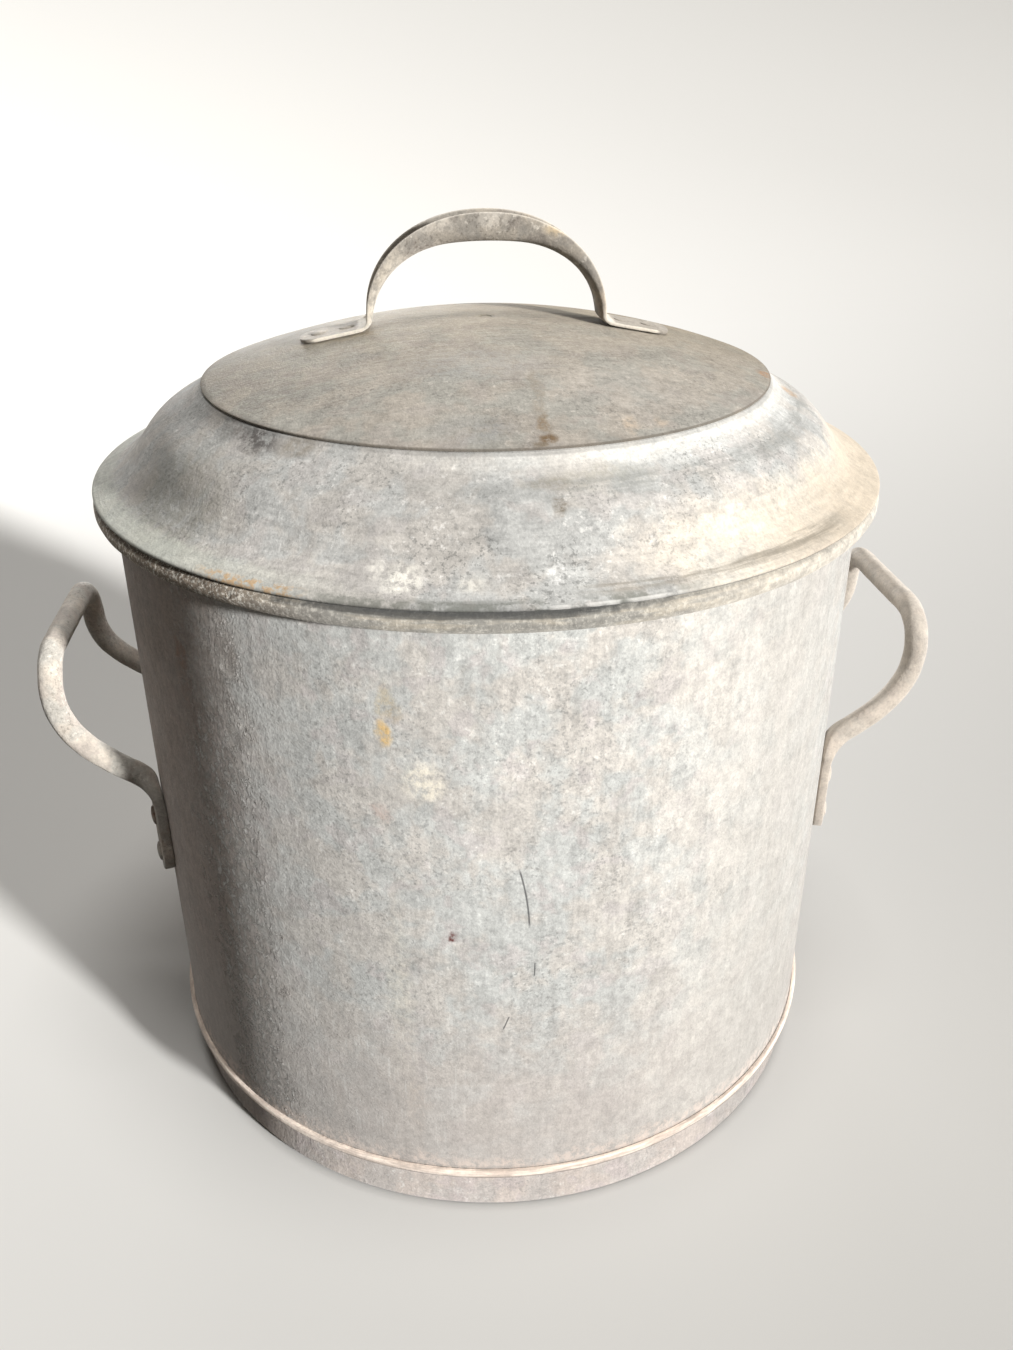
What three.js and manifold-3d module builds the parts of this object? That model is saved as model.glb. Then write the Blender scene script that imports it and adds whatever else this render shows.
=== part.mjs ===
// Boiling-water canner of galvanised steel sheet: a deep pot with a wired rim and a seamed base, two riveted
// rod handles, a loose domed lid with a gutter-shaped strap handle, and a perforated rack inside.
// Millimetres. The pot stands on z = 0 with its axis on Z, and its two handles lie on the X axis.

import * as THREE from "three";
import { mergeVertices } from "three/addons/utils/BufferGeometryUtils.js";
import Module from "manifold-3d";

const wasm = await Module();
wasm.setup();

// Sheet, gaps and facets
const sheet = 1.0; // steel sheet with its zinc coat
const fit = 0.3; // gap kept between two pieces that touch
const facets = 44; // flat sides of every round shell
const pull = 0.39; // reach of a curve's tangents as a share of its chord: makes a 90 degree bend round

// Pot wall and rim
const potRadius = 160; // outside of the rolled wall
const potHeight = 290.4; // floor to the crown of the rim bead
const rimWireRadius = 3.2;
const rimCurl = 315; // turn of the sheet round the wire, degrees
const footFlange = 1.0; // foot of the wall, turned out beyond its outside
const lockSeamWidth = 9; // vertical seam at the back of the wall
const lockSeamRise = 1.2;
const lockSeamCrest = 0.75; // width of the seam's crest as a share of its foot

// Base pan
const panInset = 1.8; // outside of the low wall under the seam, inside the outside of the pot
const panDepth = 22; // floor to the underside of the seam
const panCorner = 2.5;

// Side handles
const rodRadius = 5.25;
const strapHalfWidth = 9.5; // flat ends of the rod
const strapThickness = 4.5;
const strapCorner = 8.5; // rounded corners of the flat ends
const strapEdgePower = 6; // squareness of the flat section: 2 is an ellipse
const strapFoot = 114; // lower tip of the flat ends above the floor
const strapLength = 36;
const strapSpread = 92; // between the two flat ends, across the pot wall
const elbowReach = 7.5; // bend above each flat end: outward and up
const elbowRise = 15.5;
const legSlope = 33; // slope of a leg where it leaves the elbow, degrees above level
const gripOut = 33; // pot wall to the axis of the grip
const gripRise = 106.6; // axis of the grip above the tips of the flat ends
const gripCorner = 16.5; // bend where each leg meets the grip
const gripHalfLength = 43;

// Side handle rivets
const rivetPitch = 20;
const rivetEdge = 8.5; // lower rivet above the tip of the flat end
const rivetShank = 2.5;
const rivetHead = 4.4;
const rivetRise = 1.5;
const rivetTail = 4.5;
const rivetTailRise = 1.8;

// Lid
const discInset = 48.5; // outside of the rim bead to the edge of the disc
const discEdgeRise = 38.5; // top of the disc's edge above the crown of the rim
const discRise = 21.3; // crown of the disc above its edge
const discSteps = 5; // straight steps of the dome from its crown to its edge
const ledgeWidth = 7; // part of the pressed ring that lies under the disc
const coveSlope = 44; // how steeply the ring falls: at the disc, at the flat of the cove,
const coveWidth = 13; // at the foot of the shoulder and along the brim, degrees
const coveDrop = 8.6;
const coveFlatSlope = 28;
const shoulderWidth = 13.5;
const shoulderDrop = 12.2;
const shoulderSlope = 54;
const brimSlope = 20;
const brimCurl = 1.1; // radius of the curled edge of the brim
const brimInset = 0.7; // brim edge inside the outside of the rim bead
const collarGap = 1.0; // between the collar and the inside of the pot
const collarDepth = 16; // how far the collar reaches below the crown of the rim
const collarSeat = 8; // part of the collar turned in under the ring

// Lid handle
const archHalfSpan = 50.5;
const archRise = 41.8; // crown of the grip above the bends at the feet
const archPower = 2.1; // 2 is an ellipse, more is squarer
const archSteps = 8;
const strap = 1.5;
const strapWidth = 20.5; // flat, at the feet
const gutterWidth = 14.5; // at the crown, between the middles of its two turned-up sides
const gutterDepth = 11.6; // at the crown
const gutterPower = 2.6; // squareness of the gutter: 2 is a half ellipse
const legDepth = 2.6; // of the gutter where it starts, above the bends at the feet
const narrowPower = 1.6; // how late the strap narrows on the way to the crown
const padLength = 27; // feet of the handle
const padCorner = 8;
const padBend = 2.5; // outside of the bend between a foot and its leg

// Lid handle rivets
const lidRivetPitch = 12;
const lidRivetEdge = 8;
const lidRivetShank = 2;
const lidRivetHead = 3.4;
const lidRivetTail = 3.8;
const lidRivetRise = 0.6;

// Rack
const rackGap = 7; // rack to the inside of the base pan
const rackHeight = 24; // floor of the pan to the top of the plate
const rackLip = 5; // turned-down edge of the plate
const rackHole = 10; // radius of the holes
const rackHoleRings = 2; // rings of holes round the middle one
const rackMargin = 46; // plate's edge to the outermost holes
const rackFeet = 3;
const rackFootInset = 22; // web of each foot inside the plate's edge
const rackFootWidth = 22;
const rackFootPad = 14;
const rackStrip = 1.5;
const loopInset = 16; // lifting loops inside the plate's edge
const loopWire = 2; // radius
const loopHalfWidth = 27;
const loopHeight = 58;
const loopShoulder = 16; // height of the curved top of a loop

const zinc = { color: 0xb9b8b2, roughness: 0.55, metalness: 0.6 };
const lidZinc = { color: 0xaeaaa1, roughness: 0.58, metalness: 0.6 };
const rodZinc = { color: 0xa39f95, roughness: 0.55, metalness: 0.6 };
const insideZinc = { color: 0x9b9a94, roughness: 0.6, metalness: 0.6 };

const radians = THREE.MathUtils.degToRad;
const degrees = THREE.MathUtils.radToDeg;
const { lerp, smoothstep } = THREE.MathUtils;
const flat = (x, y) => new THREE.Vector2(x, y);
const point = (x, y, z) => new THREE.Vector3(x, y, z);
const upward = point(0, 0, 1);

// Values that follow from the sizes above
const wallInside = potRadius - sheet;
const panRadius = potRadius - panInset;
const beadRadius = rimWireRadius + fit + sheet;
const beadCentre = flat(wallInside + beadRadius, potHeight - beadRadius);
const discRadius = beadCentre.x + beadRadius - discInset;
const discEdgeHeight = potHeight + discEdgeRise;
const seamTop = panDepth + 3 * sheet + 2 * fit;
const strapAngle = Math.asin(strapSpread / 2 / potRadius);
const strapFace = potRadius + fit;
const strapOutside = strapFace + strapThickness;
const gripReach = potRadius + gripOut;
const gripHeight = strapFoot + gripRise;
const domeRadius = (discRadius ** 2 + discRise ** 2) / (2 * discRise);
const domeCentre = discEdgeHeight + discRise - domeRadius;
const domeSag = (discRadius / discSteps) ** 2 / (8 * domeRadius);
const facetSag = wallInside * (1 - Math.cos(Math.PI / facets));
const rackRadius = panRadius - sheet - rackGap;
const rackTop = sheet + rackHeight;

// Height above the floor of a sphere about the dome's centre, at radius r
function domeHeight(sphereRadius, r) {
  return domeCentre + Math.sqrt(sphereRadius ** 2 - r ** 2);
}

// Points of a circular arc, angles in degrees from +X
function arc(centre, radius, from, to, steps) {
  return Array.from({ length: steps + 1 }, (_, i) => {
    const angle = radians(lerp(from, to, i / steps));
    return flat(centre.x + radius * Math.cos(angle), centre.y + radius * Math.sin(angle));
  });
}

// Smooth curve that leaves one point and arrives at another along the given directions
function sweep(start, leave, end, arrive) {
  const reach = pull * start.distanceTo(end);
  const first = start.clone().addScaledVector(leave, reach);
  const second = end.clone().addScaledVector(arrive, -reach);
  return new THREE.CubicBezierCurve3(start, first, second, end);
}

// The same in a profile, for a line that falls outward at the given slopes in degrees; leaves out its start
function fall(start, leaveSlope, end, arriveSlope, steps) {
  const down = (slope) => point(Math.cos(radians(slope)), -Math.sin(radians(slope)), 0);
  const curve = sweep(point(start.x, start.y, 0), down(leaveSlope), point(end.x, end.y, 0), down(arriveSlope));
  return curve.getPoints(steps).slice(1).map((p) => flat(p.x, p.y));
}

// A line moved sideways, to its right as it runs, with mitred corners
function offsetLine(line, distance) {
  const normals = line.slice(1).map((next, i) => {
    const along = next.clone().sub(line[i]).normalize();
    return flat(along.y, -along.x);
  });
  return line.map((here, i) => {
    const before = normals[Math.max(i - 1, 0)];
    const after = normals[Math.min(i, normals.length - 1)];
    const middle = before.clone().add(after).normalize();
    return here.clone().addScaledVector(middle, distance / middle.dot(before));
  });
}

// Closed profile of sheet metal: a line and the same line one thickness to its right
function sheetProfile(line, thickness = sheet) {
  const other = offsetLine(line, thickness);
  if (line[0].x > 0) return [...line, ...other.reverse(), line[0]];
  other[0].x = 0;
  return [...line, ...other.reverse()];
}

// Point of a profile at a radius, and the stretch of it between two radii
function pointAt(line, radius) {
  const next = line.findIndex((p) => p.x >= radius);
  const [a, b] = [line[next - 1], line[next]];
  return a.clone().lerp(b, (radius - a.x) / (b.x - a.x));
}

function stretchOf(line, low, high) {
  return [pointAt(line, low), ...line.filter((p) => p.x > low && p.x < high), pointAt(line, high)];
}

// Keeps positions only, joins equal vertices and drops triangles with no area
function welded(geometry) {
  const bare = new THREE.BufferGeometry();
  bare.setAttribute("position", geometry.getAttribute("position").clone());
  if (geometry.index) bare.setIndex(geometry.index.clone());
  const joined = mergeVertices(bare, 1e-4);
  const kept = [];
  const index = joined.index.array;
  for (let i = 0; i < index.length; i += 3) {
    const [a, b, c] = [index[i], index[i + 1], index[i + 2]];
    if (a !== b && b !== c && c !== a) kept.push(a, b, c);
  }
  joined.setIndex(kept);
  return joined;
}

// Turns a closed mesh so that its faces point out
function facingOut(geometry) {
  const position = geometry.getAttribute("position");
  const index = geometry.index.array;
  const [a, b, c] = [point(), point(), point()];
  let volume = 0;
  for (let i = 0; i < index.length; i += 3) {
    a.fromBufferAttribute(position, index[i]);
    b.fromBufferAttribute(position, index[i + 1]);
    c.fromBufferAttribute(position, index[i + 2]);
    volume += a.dot(b.cross(c));
  }
  if (volume < 0) {
    for (let i = 0; i < index.length; i += 3) [index[i], index[i + 1]] = [index[i + 1], index[i]];
  }
  return geometry;
}

// Turns a profile of radius and height about Z
function revolve(profile, sides = facets) {
  return facingOut(welded(new THREE.LatheGeometry(profile, sides).rotateX(Math.PI / 2)));
}

// Pulls an outline along Z from one height to another
function prism(outline, low, high) {
  const block = new THREE.ExtrudeGeometry(new THREE.Shape(outline), { depth: high - low, bevelEnabled: false });
  return facingOut(welded(block.translate(0, 0, low)));
}

// Closed skin over rings of equal count, with a fan on each end
function loft(rings) {
  const count = rings[0].length;
  const corners = rings.flat();
  const index = [];
  for (let r = 0; r + 1 < rings.length; r++) {
    for (let k = 0; k < count; k++) {
      const [a, b] = [r * count + k, r * count + ((k + 1) % count)];
      index.push(a, b, b + count, a, b + count, a + count);
    }
  }
  for (const [ring, turned] of [[0, true], [rings.length - 1, false]]) {
    const middle = corners.length;
    corners.push(rings[ring].reduce((sum, p) => sum.add(p), point()).divideScalar(count));
    for (let k = 0; k < count; k++) {
      const [a, b] = [ring * count + k, ring * count + ((k + 1) % count)];
      index.push(...(turned ? [b, a, middle] : [a, b, middle]));
    }
  }
  const geometry = new THREE.BufferGeometry().setFromPoints(corners);
  geometry.setIndex(index);
  return facingOut(welded(geometry));
}

// Adds the mirror image of all rings but the last, so that both halves are the same to the last digit
function mirrored(rings, mirror) {
  const others = rings.slice(0, -1).reverse().map((ring) => ring.map((p) => p.clone().multiply(mirror)));
  return [...rings, ...others];
}

function solid(geometry) {
  const clean = welded(geometry);
  return new wasm.Manifold(new wasm.Mesh({
    numProp: 3,
    vertProperties: Float32Array.from(clean.getAttribute("position").array),
    triVerts: Uint32Array.from(clean.index.array),
  }));
}

function shapeOf(body) {
  const mesh = body.getMesh();
  const geometry = new THREE.BufferGeometry();
  geometry.setAttribute("position", new THREE.BufferAttribute(Float32Array.from(mesh.vertProperties), 3));
  geometry.setIndex(Array.from(mesh.triVerts));
  return geometry;
}

function cut(geometry, tools) {
  return shapeOf(tools.reduce((body, tool) => body.subtract(solid(tool)), solid(geometry)));
}

// Round bar on the Z axis, for cutting holes
function drill(radius, length) {
  return new THREE.CylinderGeometry(radius, radius, length, 8).rotateX(Math.PI / 2);
}

function named(name, geometry, finish) {
  const mesh = new THREE.Mesh(geometry, new THREE.MeshStandardMaterial(finish));
  mesh.name = name;
  return mesh;
}

// Rounded end of a strap: distance from its tip, and how much narrower each side is there
function roundedEnd(corner) {
  return [0, 30, 60, 90].map((angle) => ({
    back: corner * (1 - Math.cos(radians(angle))),
    trim: corner * (1 - Math.sin(radians(angle))),
  }));
}

// Side handle rivets: each has an angle round the pot and a height
function handleRivetPlaces() {
  const heights = [0, 1].map((row) => strapFoot + rivetEdge + row * rivetPitch);
  return [-strapAngle, strapAngle].flatMap((angle) => heights.map((height) => ({ angle, height })));
}

function handleRivetHoles() {
  const length = 2 * (strapOutside - wallInside);
  return handleRivetPlaces().map(({ angle, height }) =>
    drill(rivetShank + fit, length).rotateY(Math.PI / 2).translate(strapFace, 0, 0).rotateZ(angle)
      .translate(0, 0, height));
}

// Wall: foot turned out, straight side, top curled outward round the wire; lock seam at the back
function potWall() {
  const foot = panDepth + sheet + fit;
  const line = [
    flat(potRadius + footFlange, foot),
    flat(wallInside, foot),
    ...arc(beadCentre, beadRadius, 180, 180 - rimCurl, 8),
  ];
  const holes = [0, Math.PI].flatMap((side) => handleRivetHoles().map((hole) => hole.rotateZ(side)));
  const wall = cut(revolve(sheetProfile(line)), holes);
  return shapeOf(solid(wall).add(solid(lockSeam())));
}

function lockSeam() {
  const half = degrees(lockSeamWidth / 2 / potRadius);
  const crest = half * lockSeamCrest;
  const axis = flat(0, 0);
  const outline = [
    ...arc(axis, potRadius - sheet / 2, 90 - half, 90 + half, 2),
    ...arc(axis, potRadius + lockSeamRise, 90 + crest, 90 - crest, 2),
  ];
  return prism(outline, seamTop + fit, beadCentre.y - beadRadius - fit);
}

function rimWire() {
  return revolve(arc(beadCentre, rimWireRadius, 0, 360, 6));
}

// Base pan: flat floor, rounded corner, low wall, and an edge folded out, up and back over the wall's foot
function basePan() {
  const fold = potRadius + footFlange + fit + sheet;
  return revolve(sheetProfile([
    flat(0, 0),
    ...arc(flat(panRadius - panCorner, panCorner), panCorner, -90, 0, 3),
    flat(panRadius, panDepth),
    flat(fold, panDepth),
    flat(fold, seamTop),
    flat(potRadius + fit, seamTop),
  ], -sheet));
}

// Oval ring that is round at power 2 and squarer above it
function ovalRing(centre, across, through, halfWidth, halfThickness, power, count = 10) {
  const squared = (value) => Math.sign(value) * Math.abs(value) ** (2 / power);
  return Array.from({ length: count }, (_, k) => {
    const angle = (2 * Math.PI * k) / count;
    return centre.clone()
      .addScaledVector(across, halfWidth * squared(Math.cos(angle)))
      .addScaledVector(through, halfThickness * squared(Math.sin(angle)));
  });
}

// Bends of half a side handle in order: elbow, leg, grip corner and half the grip
function handleBends(start) {
  const leaving = point(Math.cos(radians(legSlope)), 0, Math.sin(radians(legSlope)));
  const inward = point(0, -1, 0);
  const elbow = start.clone().add(point(elbowReach, 0, elbowRise));
  const legTop = point(gripReach, gripHalfLength, gripHeight - gripCorner);
  const gripStart = point(gripReach, gripHalfLength - gripCorner, gripHeight);
  return [
    { curve: sweep(start, upward, elbow, leaving), steps: 4 },
    { curve: sweep(elbow, leaving, legTop, upward), steps: 5 },
    { curve: sweep(legTop, upward, gripStart, inward), steps: 4 },
    { curve: new THREE.LineCurve3(gripStart, point(gripReach, 0, gripHeight)), steps: 1 },
  ];
}

// Rod handle on the +X side: round rod with both ends forged flat against the pot wall
function sideHandle() {
  const across = point(-Math.sin(strapAngle), Math.cos(strapAngle), 0);
  const rings = [];
  const addRing = (centre, along, roundness, trim) => {
    across.addScaledVector(along, -across.dot(along)).normalize();
    const halfWidth = lerp(strapHalfWidth - trim, rodRadius, roundness);
    const halfThickness = lerp(strapThickness / 2, rodRadius, roundness);
    const power = lerp(strapEdgePower, 2, roundness);
    rings.push(ovalRing(centre, across.clone(), along.clone().cross(across), halfWidth, halfThickness, power));
  };
  const tip = point(strapFace + strapThickness / 2, 0, strapFoot).applyAxisAngle(upward, strapAngle);
  for (const { back, trim } of roundedEnd(strapCorner)) {
    addRing(tip.clone().addScaledVector(upward, back), upward, 0, trim);
  }
  const bendStart = tip.clone().addScaledVector(upward, strapLength);
  addRing(bendStart, upward, 0, 0);
  handleBends(bendStart).forEach(({ curve, steps }, bend) => {
    for (let i = 1; i <= steps; i++) {
      const roundness = bend === 0 ? smoothstep(i / steps, 0, 1) : 1;
      addRing(curve.getPoint(i / steps), curve.getTangent(i / steps), roundness, 0);
    }
  });
  return cut(loft(mirrored(rings, point(1, -1, 1))), handleRivetHoles());
}

// Rivet on the Z axis: flat tail under tailSeat, shank, and a domed head on headSeat
function rivet({ tailSeat, headSeat, shank, head, rise, tail, tailRise }) {
  const brow = rise / 5;
  const dome = [0, 35, 65].map((angle) =>
    flat(head * Math.cos(radians(angle)), headSeat + lerp(brow, rise, Math.sin(radians(angle)))));
  return revolve([
    flat(0, tailSeat - tailRise),
    flat(tail, tailSeat - tailRise),
    flat(tail, tailSeat),
    flat(shank, tailSeat),
    flat(shank, headSeat),
    flat(head, headSeat),
    ...dome,
    flat(0, headSeat + rise),
  ], 8);
}

function handleRivet() {
  return rivet({
    tailSeat: wallInside - facetSag - fit,
    headSeat: strapOutside + fit,
    shank: rivetShank,
    head: rivetHead,
    rise: rivetRise,
    tail: rivetTail,
    tailRise: rivetTailRise,
  }).rotateY(Math.PI / 2);
}

// Centre of the brim's curled edge, which rests on the outer side of the rim bead
function brimCentre() {
  const out = beadRadius - brimInset - brimCurl;
  const apart = beadRadius + fit + brimCurl;
  return flat(beadCentre.x + out, beadCentre.y + Math.sqrt(apart ** 2 - out ** 2));
}

// Upper line of the pressed ring: ledge under the disc, cove, shoulder and brim
function ringLine() {
  const ledge = [ledgeWidth, 0].map((back) =>
    flat(discRadius - back, domeHeight(domeRadius - sheet - fit, discRadius - back)));
  const cove = flat(discRadius + sheet / 2, ledge[1].y - fit);
  const coveFlat = flat(cove.x + coveWidth, cove.y - coveDrop);
  const shoulderFoot = flat(coveFlat.x + shoulderWidth, coveFlat.y - shoulderDrop);
  const [brimEnd] = arc(brimCentre(), brimCurl, 90 - brimSlope, 0, 1);
  return [
    ...ledge,
    cove,
    ...fall(cove, coveSlope, coveFlat, coveFlatSlope, 2),
    ...fall(coveFlat, coveFlatSlope, shoulderFoot, shoulderSlope, 4),
    ...fall(shoulderFoot, shoulderSlope, brimEnd, brimSlope, 4),
  ];
}

// Pressed ring of the lid; its brim ends in a curl that runs from the upper line round to the lower one
function lidShoulder() {
  const top = ringLine();
  const start = 90 - brimSlope;
  const join = degrees(Math.acos((brimCurl - sheet) / brimCurl));
  const curl = arc(brimCentre(), brimCurl, start, start + join - 360, 4).slice(1);
  const under = offsetLine(top, sheet).slice(0, -1).reverse();
  return revolve([...top, ...curl, ...under, top[0]]);
}

function lidDisc() {
  const line = Array.from({ length: discSteps + 1 }, (_, i) => {
    const r = (discRadius * i) / discSteps;
    return flat(r, domeHeight(domeRadius, r));
  });
  return cut(revolve(sheetProfile(line)), lidRivetTurns.map((turn) => onLid(lidRivetHole(), turn)));
}

// Collar: a band inside the mouth of the pot, its top turned in to lie under the pressed ring
function lidCollar() {
  const outside = wallInside - collarGap;
  const seat = stretchOf(offsetLine(ringLine(), sheet + fit), outside - collarSeat, outside).reverse();
  return revolve(sheetProfile([flat(outside, potHeight - collarDepth), ...seat], -sheet));
}

// Four rivets of the lid handle: which foot, and how far along it from its middle
const lidRivetTurns = [0, Math.PI].flatMap((side) => [0, 1].map((row) => ({
  side,
  along: padLength / 2 - lidRivetEdge - row * lidRivetPitch,
})));

// Frame of the lid handle's foot on the +X side, which lies on the dome
const padLean = Math.asin((archHalfSpan + padLength / 2) / domeRadius);
const padUp = point(Math.sin(padLean), 0, Math.cos(padLean));
const padOut = point(Math.cos(padLean), 0, -Math.sin(padLean));
const padBase = point(0, 0, domeCentre).addScaledVector(padUp, domeRadius + fit);

// Moves a shape from the foot's own frame to its place on the lid
function onLid(geometry, { side, along }) {
  const place = padBase.clone().addScaledVector(padOut, along);
  return geometry.rotateY(padLean).translate(place.x, place.y, place.z).rotateZ(side);
}

function lidRivetHole() {
  return drill(lidRivetShank + fit, 4 * (sheet + strap));
}

function lidRivet() {
  return rivet({
    tailSeat: -(sheet + domeSag + 2 * fit),
    headSeat: strap + fit,
    shank: lidRivetShank,
    head: lidRivetHead,
    rise: lidRivetRise,
    tail: lidRivetTail,
    tailRise: lidRivetRise,
  });
}

// Section of the lid handle: a strap with both edges turned outward, so that the fingers meet its round side
function gutterRing({ place, outward, width, depth }) {
  const steps = 6;
  const squared = (value) => Math.sign(value) * Math.abs(value) ** (2 / gutterPower);
  const middle = Array.from({ length: steps + 1 }, (_, k) => {
    const angle = radians(lerp(-90, 90, k / steps));
    return flat((width / 2) * squared(Math.sin(angle)), -strap / 2 - (depth - strap) * squared(Math.cos(angle)));
  });
  const skin = [...offsetLine(middle, -strap / 2), ...offsetLine(middle, strap / 2).reverse()];
  return skin.map((p) => place.clone().addScaledVector(outward, p.y).add(point(0, p.x, 0)));
}

// Half of the lid handle from the tip of its foot to the crown of the arch, by the outer line of its edges
function lidHandleStations() {
  const stations = [];
  const onPad = (back, trim) => stations.push({
    place: padBase.clone().addScaledVector(padOut, padLength / 2 - back).addScaledVector(padUp, strap),
    outward: padUp,
    width: strapWidth - 2 * trim,
    depth: strap,
  });
  for (const { back, trim } of roundedEnd(padCorner)) onPad(back, trim);
  onPad(padLength - 2 * padBend, 0);
  const bendHeight = domeHeight(domeRadius, archHalfSpan) + fit + strap + padBend;
  const bendCentre = point(archHalfSpan + padBend, 0, bendHeight);
  for (const turn of [25, 50, 75]) {
    const outward = point(Math.sin(radians(turn)), 0, Math.cos(radians(turn)));
    const place = bendCentre.clone().addScaledVector(outward, -padBend);
    stations.push({ place, outward, width: strapWidth, depth: lerp(strap, legDepth, smoothstep(turn, 25, 90)) });
  }
  for (let i = 1; i <= archSteps; i++) {
    const turn = 90 * (i / archSteps) ** 1.2;
    const [along, up] = [Math.cos(radians(turn)) + 1e-9, Math.sin(radians(turn))];
    stations.push({
      place: point(archHalfSpan * along ** (2 / archPower), 0, bendHeight + archRise * up ** (2 / archPower)),
      outward: point(along ** (2 - 2 / archPower) / archHalfSpan, 0, up ** (2 - 2 / archPower) / archRise).normalize(),
      width: lerp(strapWidth, gutterWidth, up ** narrowPower),
      depth: lerp(legDepth, gutterDepth, turn / 90),
    });
  }
  return stations;
}

function lidHandle() {
  const rings = lidHandleStations().map(gutterRing);
  rings.at(-1).forEach((p) => p.setX(0));
  const holes = lidRivetTurns.map((turn) => onLid(lidRivetHole(), turn));
  return cut(loft(mirrored(rings, point(-1, 1, 1))), holes);
}

// Rack plate with a chamfered and turned-down edge; six more holes in each ring than in the one inside it
function rackPlate() {
  const plate = revolve(sheetProfile([
    flat(0, rackTop),
    flat(rackRadius - 2 * sheet, rackTop),
    flat(rackRadius, rackTop - 2 * sheet),
    flat(rackRadius, rackTop - rackLip),
  ]));
  const holes = [drill(rackHole, 4 * sheet).translate(0, 0, rackTop)];
  for (let ring = 1; ring <= rackHoleRings; ring++) {
    const radius = ((rackRadius - rackMargin) * ring) / rackHoleRings;
    for (let i = 0; i < 6 * ring; i++) {
      const turn = (2 * Math.PI * (i + 0.5)) / (6 * ring);
      holes.push(drill(rackHole, 4 * sheet).translate(radius, 0, rackTop).rotateZ(turn));
    }
  }
  return cut(plate, holes);
}

// Foot of the rack: a strip bent to a Z, one pad under the plate and one on the floor of the pan
function rackFoot() {
  const [low, high] = [sheet + fit, rackTop - sheet - fit];
  const line = [flat(-rackFootPad, low), flat(0, low), flat(0, high - rackStrip), flat(rackFootPad, high - rackStrip)];
  const outline = [...line, ...offsetLine(line, -rackStrip).reverse()];
  const strip = prism(outline, -rackFootWidth / 2, rackFootWidth / 2).rotateX(Math.PI / 2);
  return strip.translate(rackRadius - rackFootInset, 0, 0);
}

// Lifting loop of the rack: a wire bent to an arch that stands on the plate
function rackLoop() {
  const reach = rackRadius - loopInset;
  const base = rackTop + fit;
  const out = point(1, 0, 0);
  const rings = [];
  const addRing = (centre, along) => {
    rings.push(ovalRing(centre, out, along.clone().cross(out), loopWire, loopWire, 2, 8));
  };
  const bend = point(reach, -loopHalfWidth, base + loopHeight - loopShoulder);
  const crown = point(reach, 0, base + loopHeight - loopWire);
  const curve = sweep(bend, upward, crown, point(0, 1, 0));
  addRing(point(reach, -loopHalfWidth, base), upward);
  for (const t of [0, 0.25, 0.5, 0.75, 1]) addRing(curve.getPoint(t), curve.getTangent(t));
  return loft(mirrored(rings, point(1, -1, 1)));
}

function pot() {
  const group = new THREE.Group();
  group.add(named("pot_wall", potWall(), zinc));
  group.add(named("rim_wire", rimWire(), zinc));
  group.add(named("base_pan", basePan(), zinc));
  for (const [side, turn] of [["right", 0], ["left", Math.PI]]) {
    const holder = new THREE.Group();
    holder.rotation.z = turn;
    holder.add(named(`${side}_handle`, sideHandle(), rodZinc));
    handleRivetPlaces().forEach(({ angle, height }, i) => {
      const mesh = named(`${side}_handle_rivet_${i + 1}`, handleRivet(), rodZinc);
      mesh.rotation.z = angle;
      mesh.position.z = height;
      holder.add(mesh);
    });
    group.add(holder);
  }
  return group;
}

function lid() {
  const group = new THREE.Group();
  group.add(named("lid_shoulder", lidShoulder(), lidZinc));
  group.add(named("lid_disc", lidDisc(), lidZinc));
  group.add(named("lid_collar", lidCollar(), lidZinc));
  group.add(named("lid_handle", lidHandle(), lidZinc));
  lidRivetTurns.forEach((turn, i) => {
    group.add(named(`lid_handle_rivet_${i + 1}`, onLid(lidRivet(), turn), lidZinc));
  });
  return group;
}

function rack() {
  const group = new THREE.Group();
  group.add(named("rack_plate", rackPlate(), insideZinc));
  for (let i = 0; i < rackFeet; i++) {
    const foot = named(`rack_foot_${i + 1}`, rackFoot(), insideZinc);
    foot.rotation.z = (2 * Math.PI * i) / rackFeet + Math.PI / 2;
    group.add(foot);
  }
  for (const [side, turn] of [["right", 0], ["left", Math.PI]]) {
    const loop = named(`rack_loop_${side}`, rackLoop(), insideZinc);
    loop.rotation.z = turn;
    group.add(loop);
  }
  return group;
}

const canner = new THREE.Group();
canner.add(pot(), lid(), rack());

export default canner;
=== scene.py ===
import math

import bpy
import numpy as np
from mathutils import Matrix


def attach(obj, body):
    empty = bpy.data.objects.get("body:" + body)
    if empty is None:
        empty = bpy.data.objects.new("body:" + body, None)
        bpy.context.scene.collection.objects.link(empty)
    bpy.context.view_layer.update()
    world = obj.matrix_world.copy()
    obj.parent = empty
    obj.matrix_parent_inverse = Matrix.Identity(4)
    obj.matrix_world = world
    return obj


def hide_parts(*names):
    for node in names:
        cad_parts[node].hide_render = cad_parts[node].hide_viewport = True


# Looks of a boiling-water canner of hot-dipped galvanised sheet. All shapes are worked out in millimetres.
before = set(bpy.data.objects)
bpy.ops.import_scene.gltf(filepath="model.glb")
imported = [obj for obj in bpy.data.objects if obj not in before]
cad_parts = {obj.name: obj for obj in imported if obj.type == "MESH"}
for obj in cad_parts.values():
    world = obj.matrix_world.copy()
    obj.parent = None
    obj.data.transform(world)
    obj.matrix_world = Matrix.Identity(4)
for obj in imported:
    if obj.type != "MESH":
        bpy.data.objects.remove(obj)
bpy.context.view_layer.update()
print("frame loaded")

scene = bpy.context.scene

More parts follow.
